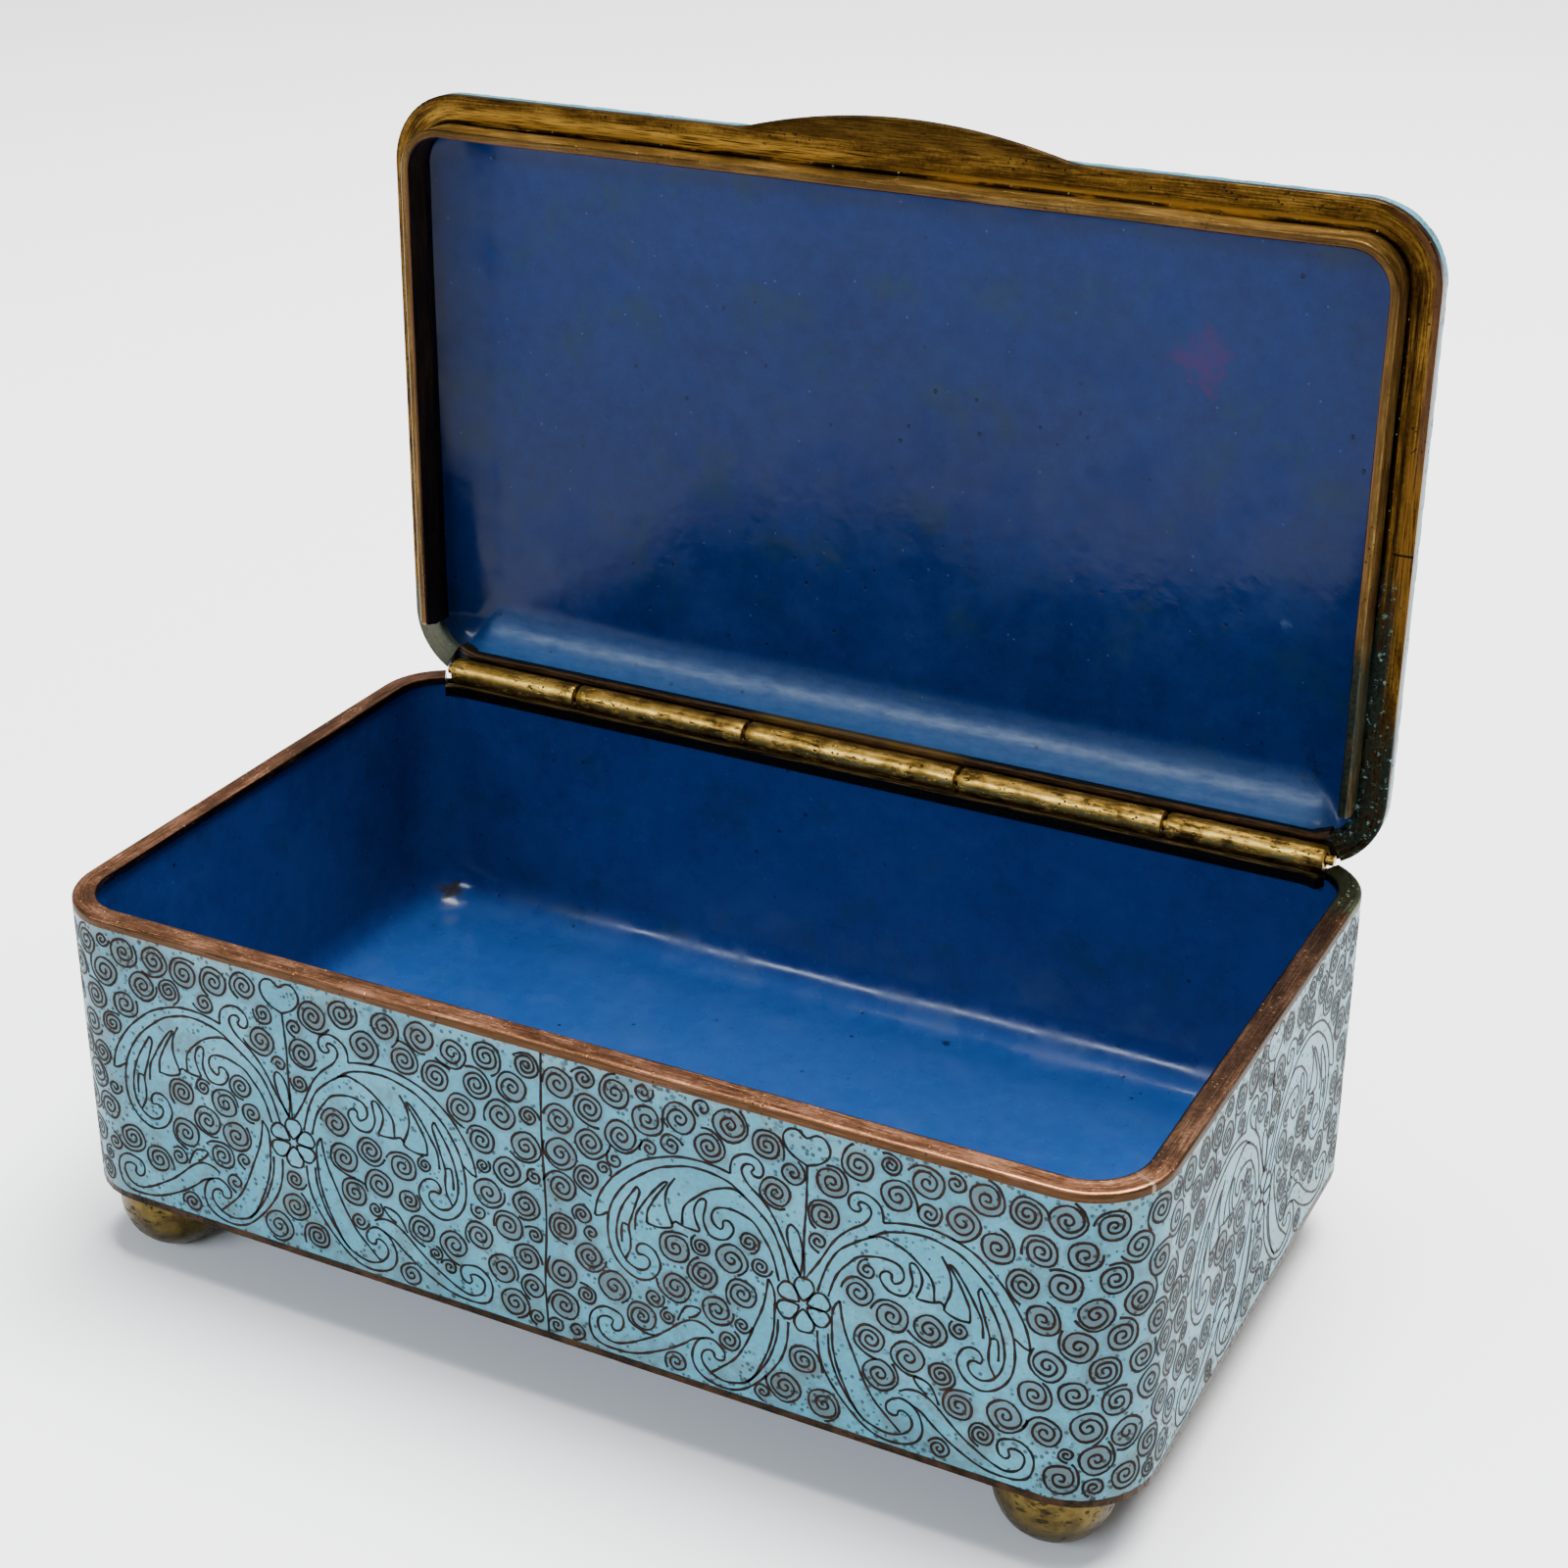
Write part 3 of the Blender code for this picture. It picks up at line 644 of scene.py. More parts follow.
LEAF_STROKES = [
    [(18.5, 8.1), (18.2, 7.5), (18.6, 6.1), (19.1, 4.5), (19.6, 2.8), (19.5, 1.4), (19.6, 0.0),
     (20.2, -1.3)],
    [(19.7, 2.9), (20.3, 3.0), (20.5, 1.9), (20.5, 0.6)],
    [(18.9, 2.6), (18.7, 4.5), (18.0, 5.9), (17.3, 7.1), (16.5, 8.3), (15.6, 9.4), (15.1, 9.6),
     (15.5, 8.9), (16.2, 7.8), (16.9, 6.5), (17.4, 5.3), (17.5, 3.9)],
    [(17.5, 3.9), (16.2, 3.8), (14.9, 4.2), (14.7, 4.7), (15.2, 6.1), (15.4, 7.4), (15.1, 8.9),
     (14.3, 10.3)],
    [(14.7, 4.7), (14.3, 5.1), (13.4, 4.8), (12.0, 4.7), (11.7, 4.9), (12.1, 5.9), (12.3, 7.0),
     (12.0, 8.0), (11.5, 8.6), (11.0, 8.5), (11.1, 7.5), (11.3, 6.4), (11.0, 5.3), (10.4, 4.6),
     (9.4, 4.5), (8.5, 4.9), (7.9, 5.9), (8.1, 6.6), (8.6, 6.9), (9.1, 6.7), (9.1, 6.1),
     (9.4, 5.7), (10.1, 6.1), (10.4, 6.8), (10.2, 7.6), (9.6, 8.1), (8.3, 8.3), (7.0, 8.1),
     (5.7, 7.6), (4.7, 6.5), (3.8, 5.3), (3.2, 4.0), (2.6, 1.9)],
    [(13.6, 5.0), (13.5, 6.7), (13.0, 7.7), (11.9, 8.8), (10.8, 9.7), (9.6, 10.3), (8.1, 10.7),
     (6.8, 10.3)],
]
LOWER_ARM = [
    (3.8, 1.8), (3.3, 1.1), (3.0, -0.1), (3.0, -2.1), (3.1, -4.0), (3.6, -6.2), (4.4, -8.2),
    (5.3, -10.0), (6.4, -11.3), (7.8, -11.9), (9.1, -12.1), (10.4, -11.7), (11.3, -10.9),
    (11.6, -10.0), (11.3, -9.2), (10.6, -8.8), (10.1, -9.0), (10.0, -9.5), (9.5, -9.7),
    (8.9, -9.4), (8.8, -8.6), (9.3, -7.9), (10.2, -7.4), (11.2, -7.6), (12.0, -8.2),
    (12.5, -9.2), (12.7, -10.4), (12.4, -11.5), (11.7, -12.3), (10.6, -12.8), (9.1, -13.0),
    (7.6, -12.7), (6.2, -11.9), (4.7, -10.5), (3.6, -9.2), (2.5, -7.5), (1.9, -6.0), (1.6, -4.4),
    (1.5, -2.5)]
LOWER_LEAF = [
    (3.8, 1.8), (4.0, -0.1), (4.4, -1.9), (5.2, -4.0), (6.0, -6.0), (6.7, -7.4), (7.6, -8.8),
    (9.0, -10.2), (10.4, -11.5)]
LOWER_VEIN = [
    (2.6, -2.5), (2.7, -4.3), (3.1, -6.0), (3.8, -7.8), (4.7, -9.3), (5.6, -10.5), (6.4, -11.3)]
FOOT_CURL = [
    (10.1, -6.6), (10.9, -6.1), (12.0, -5.9), (13.1, -6.2), (14.2, -7.0), (15.5, -8.3),
    (16.9, -9.6), (18.3, -10.6), (19.9, -11.6), (21.5, -12.2), (22.6, -12.0), (23.4, -11.3),
    (23.7, -10.2), (23.4, -9.5), (22.6, -9.2), (21.9, -9.5), (22.1, -10.2), (21.7, -10.7),
    (21.0, -10.4), (20.7, -9.4), (21.0, -8.6), (21.9, -8.2), (23.0, -8.1), (24.1, -8.8),
    (24.6, -9.8), (24.6, -11.1), (24.1, -12.3), (22.9, -12.9), (21.1, -13.0), (19.6, -12.8),
    (18.0, -12.2), (16.1, -11.1), (14.7, -10.1), (13.6, -9.2), (12.5, -8.2), (11.2, -7.6)]
LEAFLET = [
    (14.4, -6.7), (14.0, -5.7), (13.4, -4.7), (12.5, -4.3), (11.7, -4.3), (11.7, -4.7),
    (12.3, -5.4), (13.1, -5.9)]
# Inside of the leaves, where no spiral goes
LEAF_MIDDLE = [
    (2.2, 3.5), (3.6, 6.6), (6.2, 9.0), (9.0, 9.3), (12.5, 10.5), (15.0, 10.2), (18.0, 8.6),
    (20.0, 6.3), (21.3, 3.0), (21.5, 0.5), (20.5, -2.2), (18.0, -2.8), (17.2, 0.3)]
TEETH_MIDDLE = [
    (12.8, 5.6), (14.2, 7.0), (16.2, 5.0), (16.0, 7.0), (17.9, 4.8), (19.2, 3.4)]
LOWER_MIDDLE = [
    (3.4, 0.0), (4.0, -4.0), (5.3, -7.5), (7.5, -10.5), (9.5, -11.5), (11.0, -12.0),
    (12.2, -10.0), (11.0, -8.2), (12.0, -6.8), (15.0, -9.0), (18.0, -11.3), (21.0, -12.6),
    (23.5, -12.0), (24.0, -10.0), (22.5, -8.8)]
HEART = [
    (0.1, 16.2), (1.5, 16.9), (2.4, 17.9), (2.5, 18.9), (1.9, 19.8), (1.0, 19.9), (0.0, 19.3),
    (-0.9, 19.9), (-1.9, 19.7), (-2.5, 18.8), (-2.3, 17.7), (-1.4, 16.8), (0.1, 16.2)]
STEM_LEAF = [
    (0.3, 3.3), (1.3, 5.3), (1.8, 7.0), (1.9, 8.1), (1.5, 8.8), (0.7, 8.2), (0.2, 6.8),
    (0.1, 5.3), (0.3, 3.3)]


def curve_through(points, step=0.3):
    """Smooth curve through given points, sampled at about even steps."""
    p = np.asarray(points, float)
    ends = np.vstack([2 * p[0] - p[1], p, 2 * p[-1] - p[-2]])
    out = []
    for i in range(1, len(ends) - 2):
        a, b, c, d = ends[i - 1], ends[i], ends[i + 1], ends[i + 2]
        count = max(2, int(np.linalg.norm(c - b) / step))
        t = np.arange(count)[:, None] / count
        out.append(0.5 * (2 * b + (c - a) * t + (2 * a - 5 * b + 4 * c - d) * t ** 2
                          + (3 * b - a - 3 * c + d) * t ** 3))
    out.append(p[-1:])
    return np.vstack(out)


def spiral(centre, radius, turns, start, hand, tail):
    """A small coil of wire: an inner hook, an outer ring that nearly closes, and a tail
    that springs off outward. Some coils are wound evenly instead."""
    turned_in = np.array([0.0, 0.5, 1.0, 1.35, 1.75, 2.2, 2.7]) / 2.7
    count = int(turns * 18)
    t = np.linspace(0, 1, count)
    coiled = np.interp(t, turned_in, (0.08, 0.24, 0.42, 0.55, 0.88, 0.96, 1.0))
    even = 0.08 + 0.92 * t ** 0.9
    share = 0.5 + 0.5 * sin(7 * start)
    r = radius * (share * coiled + (1 - share) * even)
    angle = start + hand * t * turns * 2 * pi
    if tail:
        extra = np.linspace(0, 1, 8)[1:]
        r = np.concatenate([r, radius * (1 + 0.30 * extra ** 1.5 * tail)])
        angle = np.concatenate([angle, angle[-1] + hand * extra * 0.95])
    squash = 1 + 0.05 * np.sin(2 * angle + start)
    return np.stack([centre[0] + r * squash * np.cos(angle),
                     centre[1] + r / squash * np.sin(angle)], -1)


def scroll_motif(centre, seed, plain=False):
    """Both halves of the leaf scroll round its flower: wires and the room they take."""
    strokes, keep_out = [], []
    for side in (-1, 1):
        half = [ARM_AND_CURL, ARM_BACK, ARM_TIP, ARM_INNER, LOWER_ARM, LOWER_LEAF, FOOT_CURL]
        if not plain:
            half += LEAF_STROKES + [LOWER_VEIN, LEAFLET]
        for stroke in half:
            p = curve_through(stroke)
            strokes.append(np.stack([side * p[:, 0], p[:, 1]], -1))
        for middle in (LEAF_MIDDLE, TEETH_MIDDLE, LOWER_MIDDLE):
            p = curve_through(middle, 0.5)
            keep_out.append(np.stack([side * p[:, 0], p[:, 1]], -1))
    strokes.append(curve_through(HEART))
    strokes.append(curve_through([(0.1, 16.2), (0.15, 12.0), (0.0, 8.0), (0.1, 3.2)]))
    strokes.append(curve_through(STEM_LEAF) * (-1, 1))
    for k in range(6):
        turn = radians(90 + 60 * k + 4 * sin(k * 5 + seed))
        reach = 3.15 if k % 3 == 0 else 2.95
        edge = [(0.45, 0.0), (1.1, 0.6), (2.1, 1.05), (reach - 0.15, 0.7), (reach, 0.0)]
        petal = curve_through(edge + [(x, -y) for x, y in edge[-2::-1]], 0.2)
        strokes.append(petal @ np.array([[cos(turn), sin(turn)], [-sin(turn), cos(turn)]]))
    keep_out.append(np.array([(0.0, 18.0), (0.0, 18.6), (0.9, 18.5), (-0.9, 18.4)]))
    keep_out.append(np.array([(1.4 * cos(a), 1.4 * sin(a)) for a in np.arange(0, 6.2, 0.7)]))

    def settle(p):
        shift = np.stack([ripple(*p.T, seed + i, 26) for i in (0, 1)], -1)
        return p + 0.28 * shift + centre

    return [settle(p) for p in strokes], [settle(p) for p in keep_out]


def fill_with_spirals(low, high, strokes, keep_out, largest=1.85, wrap=None):
    """Spirals packed side by side wherever the strokes leave room for one."""
    # Grid step, room between coils, reach within which a wire matters, margin of the leaves
    cell, clear, near, margin_in = 0.25, 0.16, 4.2, 1.15
    across = np.arange(low[0], high[0], cell)
    upward = np.arange(low[1], high[1], cell)
    gx, gy = np.meshgrid(across, upward, indexing="ij")
    room = np.minimum(gy - low[1], high[1] - gy)
    if wrap is None:
        room = np.minimum(room, np.minimum(gx - low[0], high[0] - gx))

    def press(points, margin):
        for px, py in points:
            near_x = np.abs(across - px) < near
            near_y = np.abs(upward - py) < near
            if near_x.any() and near_y.any():
                block = np.ix_(near_x, near_y)
                gap = np.hypot(gx[block] - px, gy[block] - py) - margin
                room[block] = np.minimum(room[block], gap)

    for stroke in strokes:
        press(stroke, 0.0)
    for middle in keep_out:
        press(middle, margin_in)
    rank = gx + 1.1 * ripple(gx, gy, 3, 9) + 0.8 * rng.random(gx.shape)
    made = []
    for size in (largest, largest * 0.95, largest * 0.9, largest * 0.84,
                 1.44, 1.30, 1.16, 1.02, 0.88):
        while True:
            fits = room >= size + clear
            if not fits.any():
                break
            spot = np.argmin(np.where(fits, rank, 1e9))
            i, j = np.unravel_index(spot, gx.shape)
            centre = (gx[i, j] + rng.uniform(-0.08, 0.08), gy[i, j] + rng.uniform(-0.08, 0.08))
            radius = size * rng.uniform(0.96, 1.03)
            turns = (2.6 if size > 1.4 else 2.1 if size > 1.1 else 1.6) + rng.uniform(-0.25, 0.25)
            hand = 1 if rng.random() < 0.7 else -1
            tail = rng.uniform(0.4, 1.0) if rng.random() < 0.75 else 0.0
            made.append((centre, radius, turns, rng.uniform(0, 2 * pi), hand, tail))
            press([centre], radius + 0.02)
            if wrap is not None:
                press([(centre[0] - wrap, centre[1]), (centre[0] + wrap, centre[1])], radius + 0.02)
    return made


def wire_mesh(name, lines, surface, body):
    """Flat-topped wires laid on a surface. surface(a, b, depth) gives points at a depth
    under the outside."""
    points, faces, total = [], [], 0
    for k, line in enumerate(lines):
        p = np.asarray(line, float)
        keep = np.concatenate([[True], np.hypot(*np.diff(p, axis=0).T) > 0.02])
        p = p[keep]
        if len(p) < 3:
            continue
        way = np.gradient(p, axis=0)
        way /= np.maximum(np.hypot(way[:, 0], way[:, 1]), 1e-9)[:, None]
        side = np.stack([-way[:, 1], way[:, 0]], -1)
        run = np.arange(len(p))
        wide = WIRE_WIDTH / 2 * (1 + 0.28 * np.sin(run * 0.9 + k) * np.sin(run * 0.37 + 2 * k))
        left, right = p + side * wide[:, None], p - side * wide[:, None]
        block = np.stack([surface(*edge.T, depth) for edge, depth in (
            (left, 0.0), (right, 0.0), (right, WIRE_DEPTH), (left, WIRE_DEPTH))], 1)
        points.append(block.reshape(-1, 3))
        n = len(p)
        base = total + 4 * np.arange(n - 1)[:, None]
        quads = np.concatenate([base + (i, (i + 1) % 4, (i + 1) % 4 + 4, i + 4) for i in range(4)])
        faces.extend(quads.tolist())
        faces.append([total + 3, total + 2, total + 1, total])
        last = total + 4 * (n - 1)
        faces.append([last, last + 1, last + 2, last + 3])
        total += 4 * n
    piece(name, np.vstack(points), faces, WIRE, body, lid=body == "lid",
          smooth=30)


def wall_surface(a, b, depth):
    """Body wall: a round the outline, b the height."""
    return ring(a, depth, b)


def spiral_grime(a, b, spirals):
    """How much dirt lies in the turns of the spirals at points (a, b)."""
    grime = np.zeros_like(a)
    for centre, radius, *_ in spirals:
        near = (np.abs(a - centre[0]) < radius + 1) & (np.abs(b - centre[1]) < radius + 1)
        gap = np.hypot(a[near] - centre[0], b[near] - centre[1]) - radius
        grime[near] = np.maximum(grime[near], np.clip(0.5 - gap / 0.5, 0, 1))
    return grime


def shrunk(rim, count):
    """Rings that lead from a rim in towards its middle."""
    return [rim * (share, share, 1) for share in np.linspace(1, 0, count)[1:-1]]


# Body

def build_body_enamel():
    """The body's outer enamel and its wires."""
    right_middle = RUN_X + ARC + RUN_Y
    motifs = [(-31.5, 21.3, False), (29.7, 21.4, False), (right_middle + 0.8, 21.2, False),
              (AROUND - right_middle, 21.3, True), (AROUND / 2 - 30.0, 21.3, True),
              (AROUND / 2 + 30.0, 21.3, True)]
    strokes, keep_out = [], []
    for k, (a, drop, plain) in enumerate(motifs):
        wires, room = scroll_motif(np.array([a, RIM_PLANE - drop]), 11 + 7 * k, plain)
        strokes += wires
        keep_out += room
    strokes.append(curve_through([(0.35, WALL_HIGH), (0.1, 22.0), (0.3, 12.0), (-0.1, 4.0),
                                  (0.1, WALL_LOW)], 0.8))
    back = -AROUND / 2

    def wrapped(p):
        return np.stack([np.mod(p[:, 0] - back, AROUND) + back, p[:, 1]], -1)

    spirals = fill_with_spirals((back, WALL_LOW + 0.1), (-back, WALL_HIGH - 0.1),
                                [wrapped(p) for p in strokes],
                                [wrapped(p) for p in keep_out], wrap=AROUND)
    sides = {"front_wires": (-RUN_X - ARC / 2, RUN_X + ARC / 2),
             "right_end_wires": (RUN_X + ARC / 2, RUN_X + 1.5 * ARC + 2 * RUN_Y),
             "left_end_wires": (-RUN_X - 1.5 * ARC - 2 * RUN_Y, -RUN_X - ARC / 2)}
    groups = {name: [] for name in [*sides, "back_wires"]}

    def group_of(a):
        a = (a - back) % AROUND + back
        for name, (low, high) in sides.items():
            if low <= a < high:
                return groups[name]
        return groups["back_wires"]

    for p in strokes:
        group_of(p[:, 0].mean()).append(p)
    for values in spirals:
        group_of(values[0][0]).append(spiral(*values))
    for name, lines in groups.items():
        wire_mesh(name, lines, wall_surface, "box")

    marks, in_bar = hinge_marks(0.55, 0.55)
    s, z = np.meshgrid(marks, np.linspace(WALL_LOW, WALL_HIGH, 62), indexing="ij")
    top = np.where(in_bar, RIM_PLANE - GUTTER_DEPTH + TUCK, WALL_HIGH)
    n, m = s.shape
    s, z = s.ravel(), np.minimum(z, top[:, None]).ravel()
    points = np.vstack([ring(s, ENAMEL_DEPTH, z), ring(marks, WALL / 2, WALL_LOW),
                        ring(marks, WALL / 2, top)])
    grime = spiral_grime(np.where(s > AROUND / 2, s - AROUND, s), z, spirals)
    faces = grid_faces(n, m, close_rows=True)
    low, high = n * m, n * m + n
    for i in range(n):
        k = (i + 1) % n
        faces += [(i * m, k * m, low + k, low + i),
                  (high + i, high + k, k * m + m - 1, i * m + m - 1),
                  (low + i, low + k, high + k, high + i)]
    piece("body_outer_enamel", points, faces, TURQUOISE, "box",
          ["body_shell"], notes={"grime": np.concatenate([grime, np.zeros(2 * n)])})


def build_body_lining():
    """The blue lining: rings down the wall, round the cove and in over the floor."""
    cove, under = 5.0, UNDERSIDE + 0.9
    rings = [(WALL, z) for z in np.linspace(WALL_HIGH, cove, 16)]
    for k in range(1, 13):
        angle = k / 12 * pi / 2
        rings.append((WALL + cove * (1 - cos(angle)), cove * (1 - sin(angle))))
    marks, in_bar = hinge_marks(1.3, 1.1)
    top = np.where(in_bar, RIM_PLANE - GUTTER_DEPTH + TUCK, WALL_HIGH)
    blocks = []
    for inset, z in rings:
        x, y, nx, ny = outline(marks, inset)
        depth = WALL + 0.22 * ripple(marks, z + 0 * marks, 21, 30) * min(1, (WALL_HIGH - z) / 6)
        x, y = x - (depth - WALL) * nx, y - (depth - WALL) * ny
        blocks.append(np.stack([x, y, np.minimum(z, top)], -1))
    blocks += shrunk(blocks[-1], 14)
    points = np.vstack(blocks)
    flat = points[:, 2] < cove
    lift = ripple(points[:, 0], points[:, 1], 33, 34)
    points[:, 2] += np.where(flat, 0.10 * lift * np.clip(1 - points[:, 2] / cove, 0, 1), 0)
    n = len(marks)
    points = np.vstack([points, [[0, 0, float(points[-n:, 2].mean())]],
                        ring(marks, WALL / 2, top), ring(marks, WALL / 2, under),
                        [[0, 0, under]]])
    piece("body_lining", points, bowl_faces(len(blocks), n, 2), BLUE_BODY, "box",
          ["body_shell"])


def rim_section(width, thickness, soft):
    """Section of the plain strip: (inset, depth) from the outer foot round to the inner,
    with its outer edge rounded off softly."""
    top = [(0.0, thickness), (0.0, (thickness + soft) / 2)]
    for k in range(7):
        angle = k / 6 * pi / 2
        top.append((soft * (1 - cos(angle)), soft * 0.8 * (1 - sin(angle))))
    for k in range(1, 10):
        share = k / 10
        top.append((soft + (width - soft - 0.14) * share, 0.03 * share))
    return top + [(width - 0.14, 0.03), (width - 0.05, 0.08), (width, 0.2),
                  (width, thickness * 0.6), (width, thickness)]


def gutter_section(count):
    """Section where the hinge's gutter is sunk in the strip, with the plain one's count."""
    drop, lip = 0.15, 0.85
    inset = HALF_Y - AXIS_Y
    outer = sqrt(GUTTER_RADIUS ** 2 - inset ** 2) - drop
    first = atan2(outer + drop, -inset)
    last = atan2(lip + drop, sqrt(GUTTER_RADIUS ** 2 - (lip + drop) ** 2))
    section = [(0.0, GUTTER_DEPTH), (0.0, (GUTTER_DEPTH + outer) / 2)]
    arc = count - 7
    for k in range(arc):
        angle = first + (last - first) * k / (arc - 1)
        section.append((inset + GUTTER_RADIUS * cos(angle), -drop + GUTTER_RADIUS * sin(angle)))
    front = HALF_Y - GUTTER_FRONT
    return section + [(section[-1][0] + 0.25, lip - 0.08), (front - 0.25, lip - 0.08),
                      (front, lip + 0.15), (front, GUTTER_DEPTH * 0.7), (front, GUTTER_DEPTH)]


def rim_marks():
    """Stations round a rim, doubled at the ends of the hinge bar."""
    middle = AROUND / 2
    marks = [s for s in stations(1.6, 1.0) if abs(abs(s - middle) - BAR_HALF) > 0.3]
    for edge in (middle - BAR_HALF, middle, middle + BAR_HALF):
        marks = [s for s in marks if abs(s - edge) > 0.3] + [edge - 0.02, edge + 0.02]
    return np.array(sorted(marks))


def build_body_rim():
    """The copper strip on the body's mouth."""
    plain = rim_section(2.6, 1.0, 0.42)
    bar = gutter_section(len(plain))
    middle = AROUND / 2

    def profile(s):
        if abs(s - middle) < BAR_HALF:
            return bar
        wave = 0.05 * float(ripple(np.array(s), np.array(0.0), 5, 25))
        return [(d + (wave if d > 1.2 else 0), h + (0.03 * wave if h < 0.3 else 0))
                for d, h in plain]

    ring_strip("body_rim_strip", profile, RIM_PLANE, -1, RIM_COPPER, "box",
               ["body_rim"])


def build_feet():
    """Cast balls with a soldered ledge at the top and a worn flat below."""
    radius, shoulder, flat = 6.3, 2.0, 1.6
    from_end, from_side = 9.5, 6.8
    for depth_name, side_y in (("front", -1), ("back", 1)):
        for length_name, side_x in (("left", -1), ("right", 1)):
            centre = (side_x * (HALF_X - from_end), side_y * (HALF_Y - from_side), 0)
            top, low = UNDERSIDE + TUCK, FEET_PLANE
            middle = UNDERSIDE - GAP - shoulder
            tall = (middle - low) / sqrt(1 - (flat / radius) ** 2)
            profile = [(6.24, top), (6.28, top - 0.2), (6.22, top - 0.5), (6.05, top - 0.62)]
            for z in np.linspace(top - 0.8, low + 0.12, 22):
                profile.append((radius * sqrt(max(0.0, 1 - ((z - middle) / tall) ** 2)), z))
            profile += [(1.7, low + 0.02), (1.2, low), (0.6, low)]
            turned(f"ball_{depth_name}_{length_name}", profile, centre, FOOT_BRASS, "box",
                   [f"foot_{depth_name}_{length_name}"], dents=0.05,
                   seed=40 + side_x + 3 * side_y)


# Lid, modelled closed and turned open

def build_lid_enamel():
    """Domed lid: turquoise outside with wires, blue inside."""
    shoulder, rise, crown = 7.0, 5.2, 1.0
    edge = MATING_PLANE + 1.0 - TUCK
    flat = LID_TOP - crown
    low = flat - rise
    skin, bulge = ENAMEL_DEPTH, crown - 0.07

    def crown_height(x, y, bulge, border=shoulder):
        u = np.clip(np.abs(x) / (HALF_X - border), 0, 1)
        v = np.clip(np.abs(y) / (HALF_Y - border), 0, 1)
        return bulge * (1 - u ** 2.6) * (1 - v ** 2.6)

    marks, in_bar = hinge_marks(1.5, 1.1)
    n = len(marks)
    bottom = np.where(in_bar, MATING_PLANE + GUTTER_DEPTH - TUCK, edge)
    rings = [(skin, edge)]
    for k in range(15):
        angle = k / 14 * pi / 2
        rings.append((skin + (shoulder - skin) * (1 - cos(angle)),
                      low + (rise - skin) * sin(angle)))
    blocks = [ring(marks, d, np.maximum(z, bottom)) for d, z in rings]
    blocks += shrunk(blocks[-1], 15)
    outer = np.vstack(blocks)
    on_top = np.arange(len(outer)) >= (len(rings) - 1) * n
    outer[:, 2] += np.where(on_top, crown_height(outer[:, 0], outer[:, 1], bulge), 0)
    points = np.vstack([outer, [[0, 0, LID_TOP - skin - 0.07]], ring(marks, 0.9, bottom),
                        ring(marks, 0.9, low + 1.0), ring(marks, 6.9, flat - 0.9),
                        [[0, 0, flat - 0.6]]])
    faces = [f[::-1] for f in bowl_faces(len(blocks), n, 3)]
    grime = 0.3 + 0.2 * ripple(points[:, 0], points[:, 1], 8, 20)
    piece("lid_outer_enamel", points, faces, TURQUOISE, "lid", ["lid_shell"],
          lid=True, notes={"grime": np.clip(grime, 0, 1)})

    wall, cove_width, foot_z = 1.8, 8.4, MATING_PLANE + 1.1
    away = np.abs(marks - AROUND / 2)
    start = wall + 1.7 * np.clip((BAR_HALF - away) / 3.0, 0, 1)
    # The bowl values mark the cove at the hinge, where the lid's blue is painted paler as a
    # highlight and given a rougher coat
    bowl, blocks = [], []
    for k in range(17):
        angle = k / 16 * pi / 2
        share = 1 - cos(angle)
        bowl.append(np.clip(1.2 - 1.3 * share, 0, 1) * np.clip((BAR_HALF + 2 - away) / 8, 0, 1))
        blocks.append(ring(marks, start + (wall + cove_width - start) * share,
                           foot_z + (flat - wall - foot_z) * sin(angle)))
    blocks += shrunk(blocks[-1], 24)
    lining = np.vstack(blocks)
    on_top = lining[:, 2] > flat - wall - 0.001
    lift = crown_height(lining[:, 0], lining[:, 1], crown * 0.9, wall + cove_width)
    lining[:, 2] += np.where(on_top, lift, 0)
    soft = ripple(lining[:, 0], lining[:, 1], 61, 60)
    lining[:, 2] += 0.10 * soft * np.clip((lining[:, 2] - foot_z) / 4, 0, 1)
    points = np.vstack([lining, [[0, 0, float(lining[-n:, 2].mean())]],
                        ring(marks, np.where(in_bar, 3.4, 0.95),
                             np.where(in_bar, MATING_PLANE + 2.3, foot_z)),
                        ring(marks, 0.95, low + 1.05), ring(marks, 6.9, flat - 0.95),
                        [[0, 0, flat - 0.65]]])
    bowl = np.concatenate([*bowl, np.zeros(len(points) - 17 * n)])
    piece("lid_lining", points, bowl_faces(len(blocks), n, 3, start=1), BLUE_LID, "lid",
          ["lid_shell"], lid=True, notes={"bowl": bowl})

    def shoulder_surface(a, b, depth):
        angle = np.clip(b / 9.6, 0, 1) * pi / 2
        return ring(a, (shoulder - depth) * (1 - np.cos(angle)) + depth,
                    low + (rise - depth) * np.sin(angle))

    def top_surface(a, b, depth):
        return np.stack([a, b, flat - depth + crown_height(a, b, bulge)], -1)

    band = fill_with_spirals((-AROUND / 2, 0.6), (AROUND / 2, 9.0), [], [], wrap=AROUND)
    border = np.array([(s, 9.3) for s in stations(0.9, 0.5)])
    wire_mesh("lid_side_wires", [spiral(*v) for v in band] + [border], shoulder_surface, "lid")
    strokes, rooms = [], []
    for k, a in enumerate((-28.0, 28.0)):
        wires, room = scroll_motif(np.array([a, -2.5]), 90 + 9 * k, True)
        strokes += wires
        rooms += room
    top = fill_with_spirals((-55.5, -29.5), (55.5, 29.5), strokes, rooms)
    wire_mesh("lid_top_wires", [spiral(*v) for v in top] + strokes, top_surface, "lid")


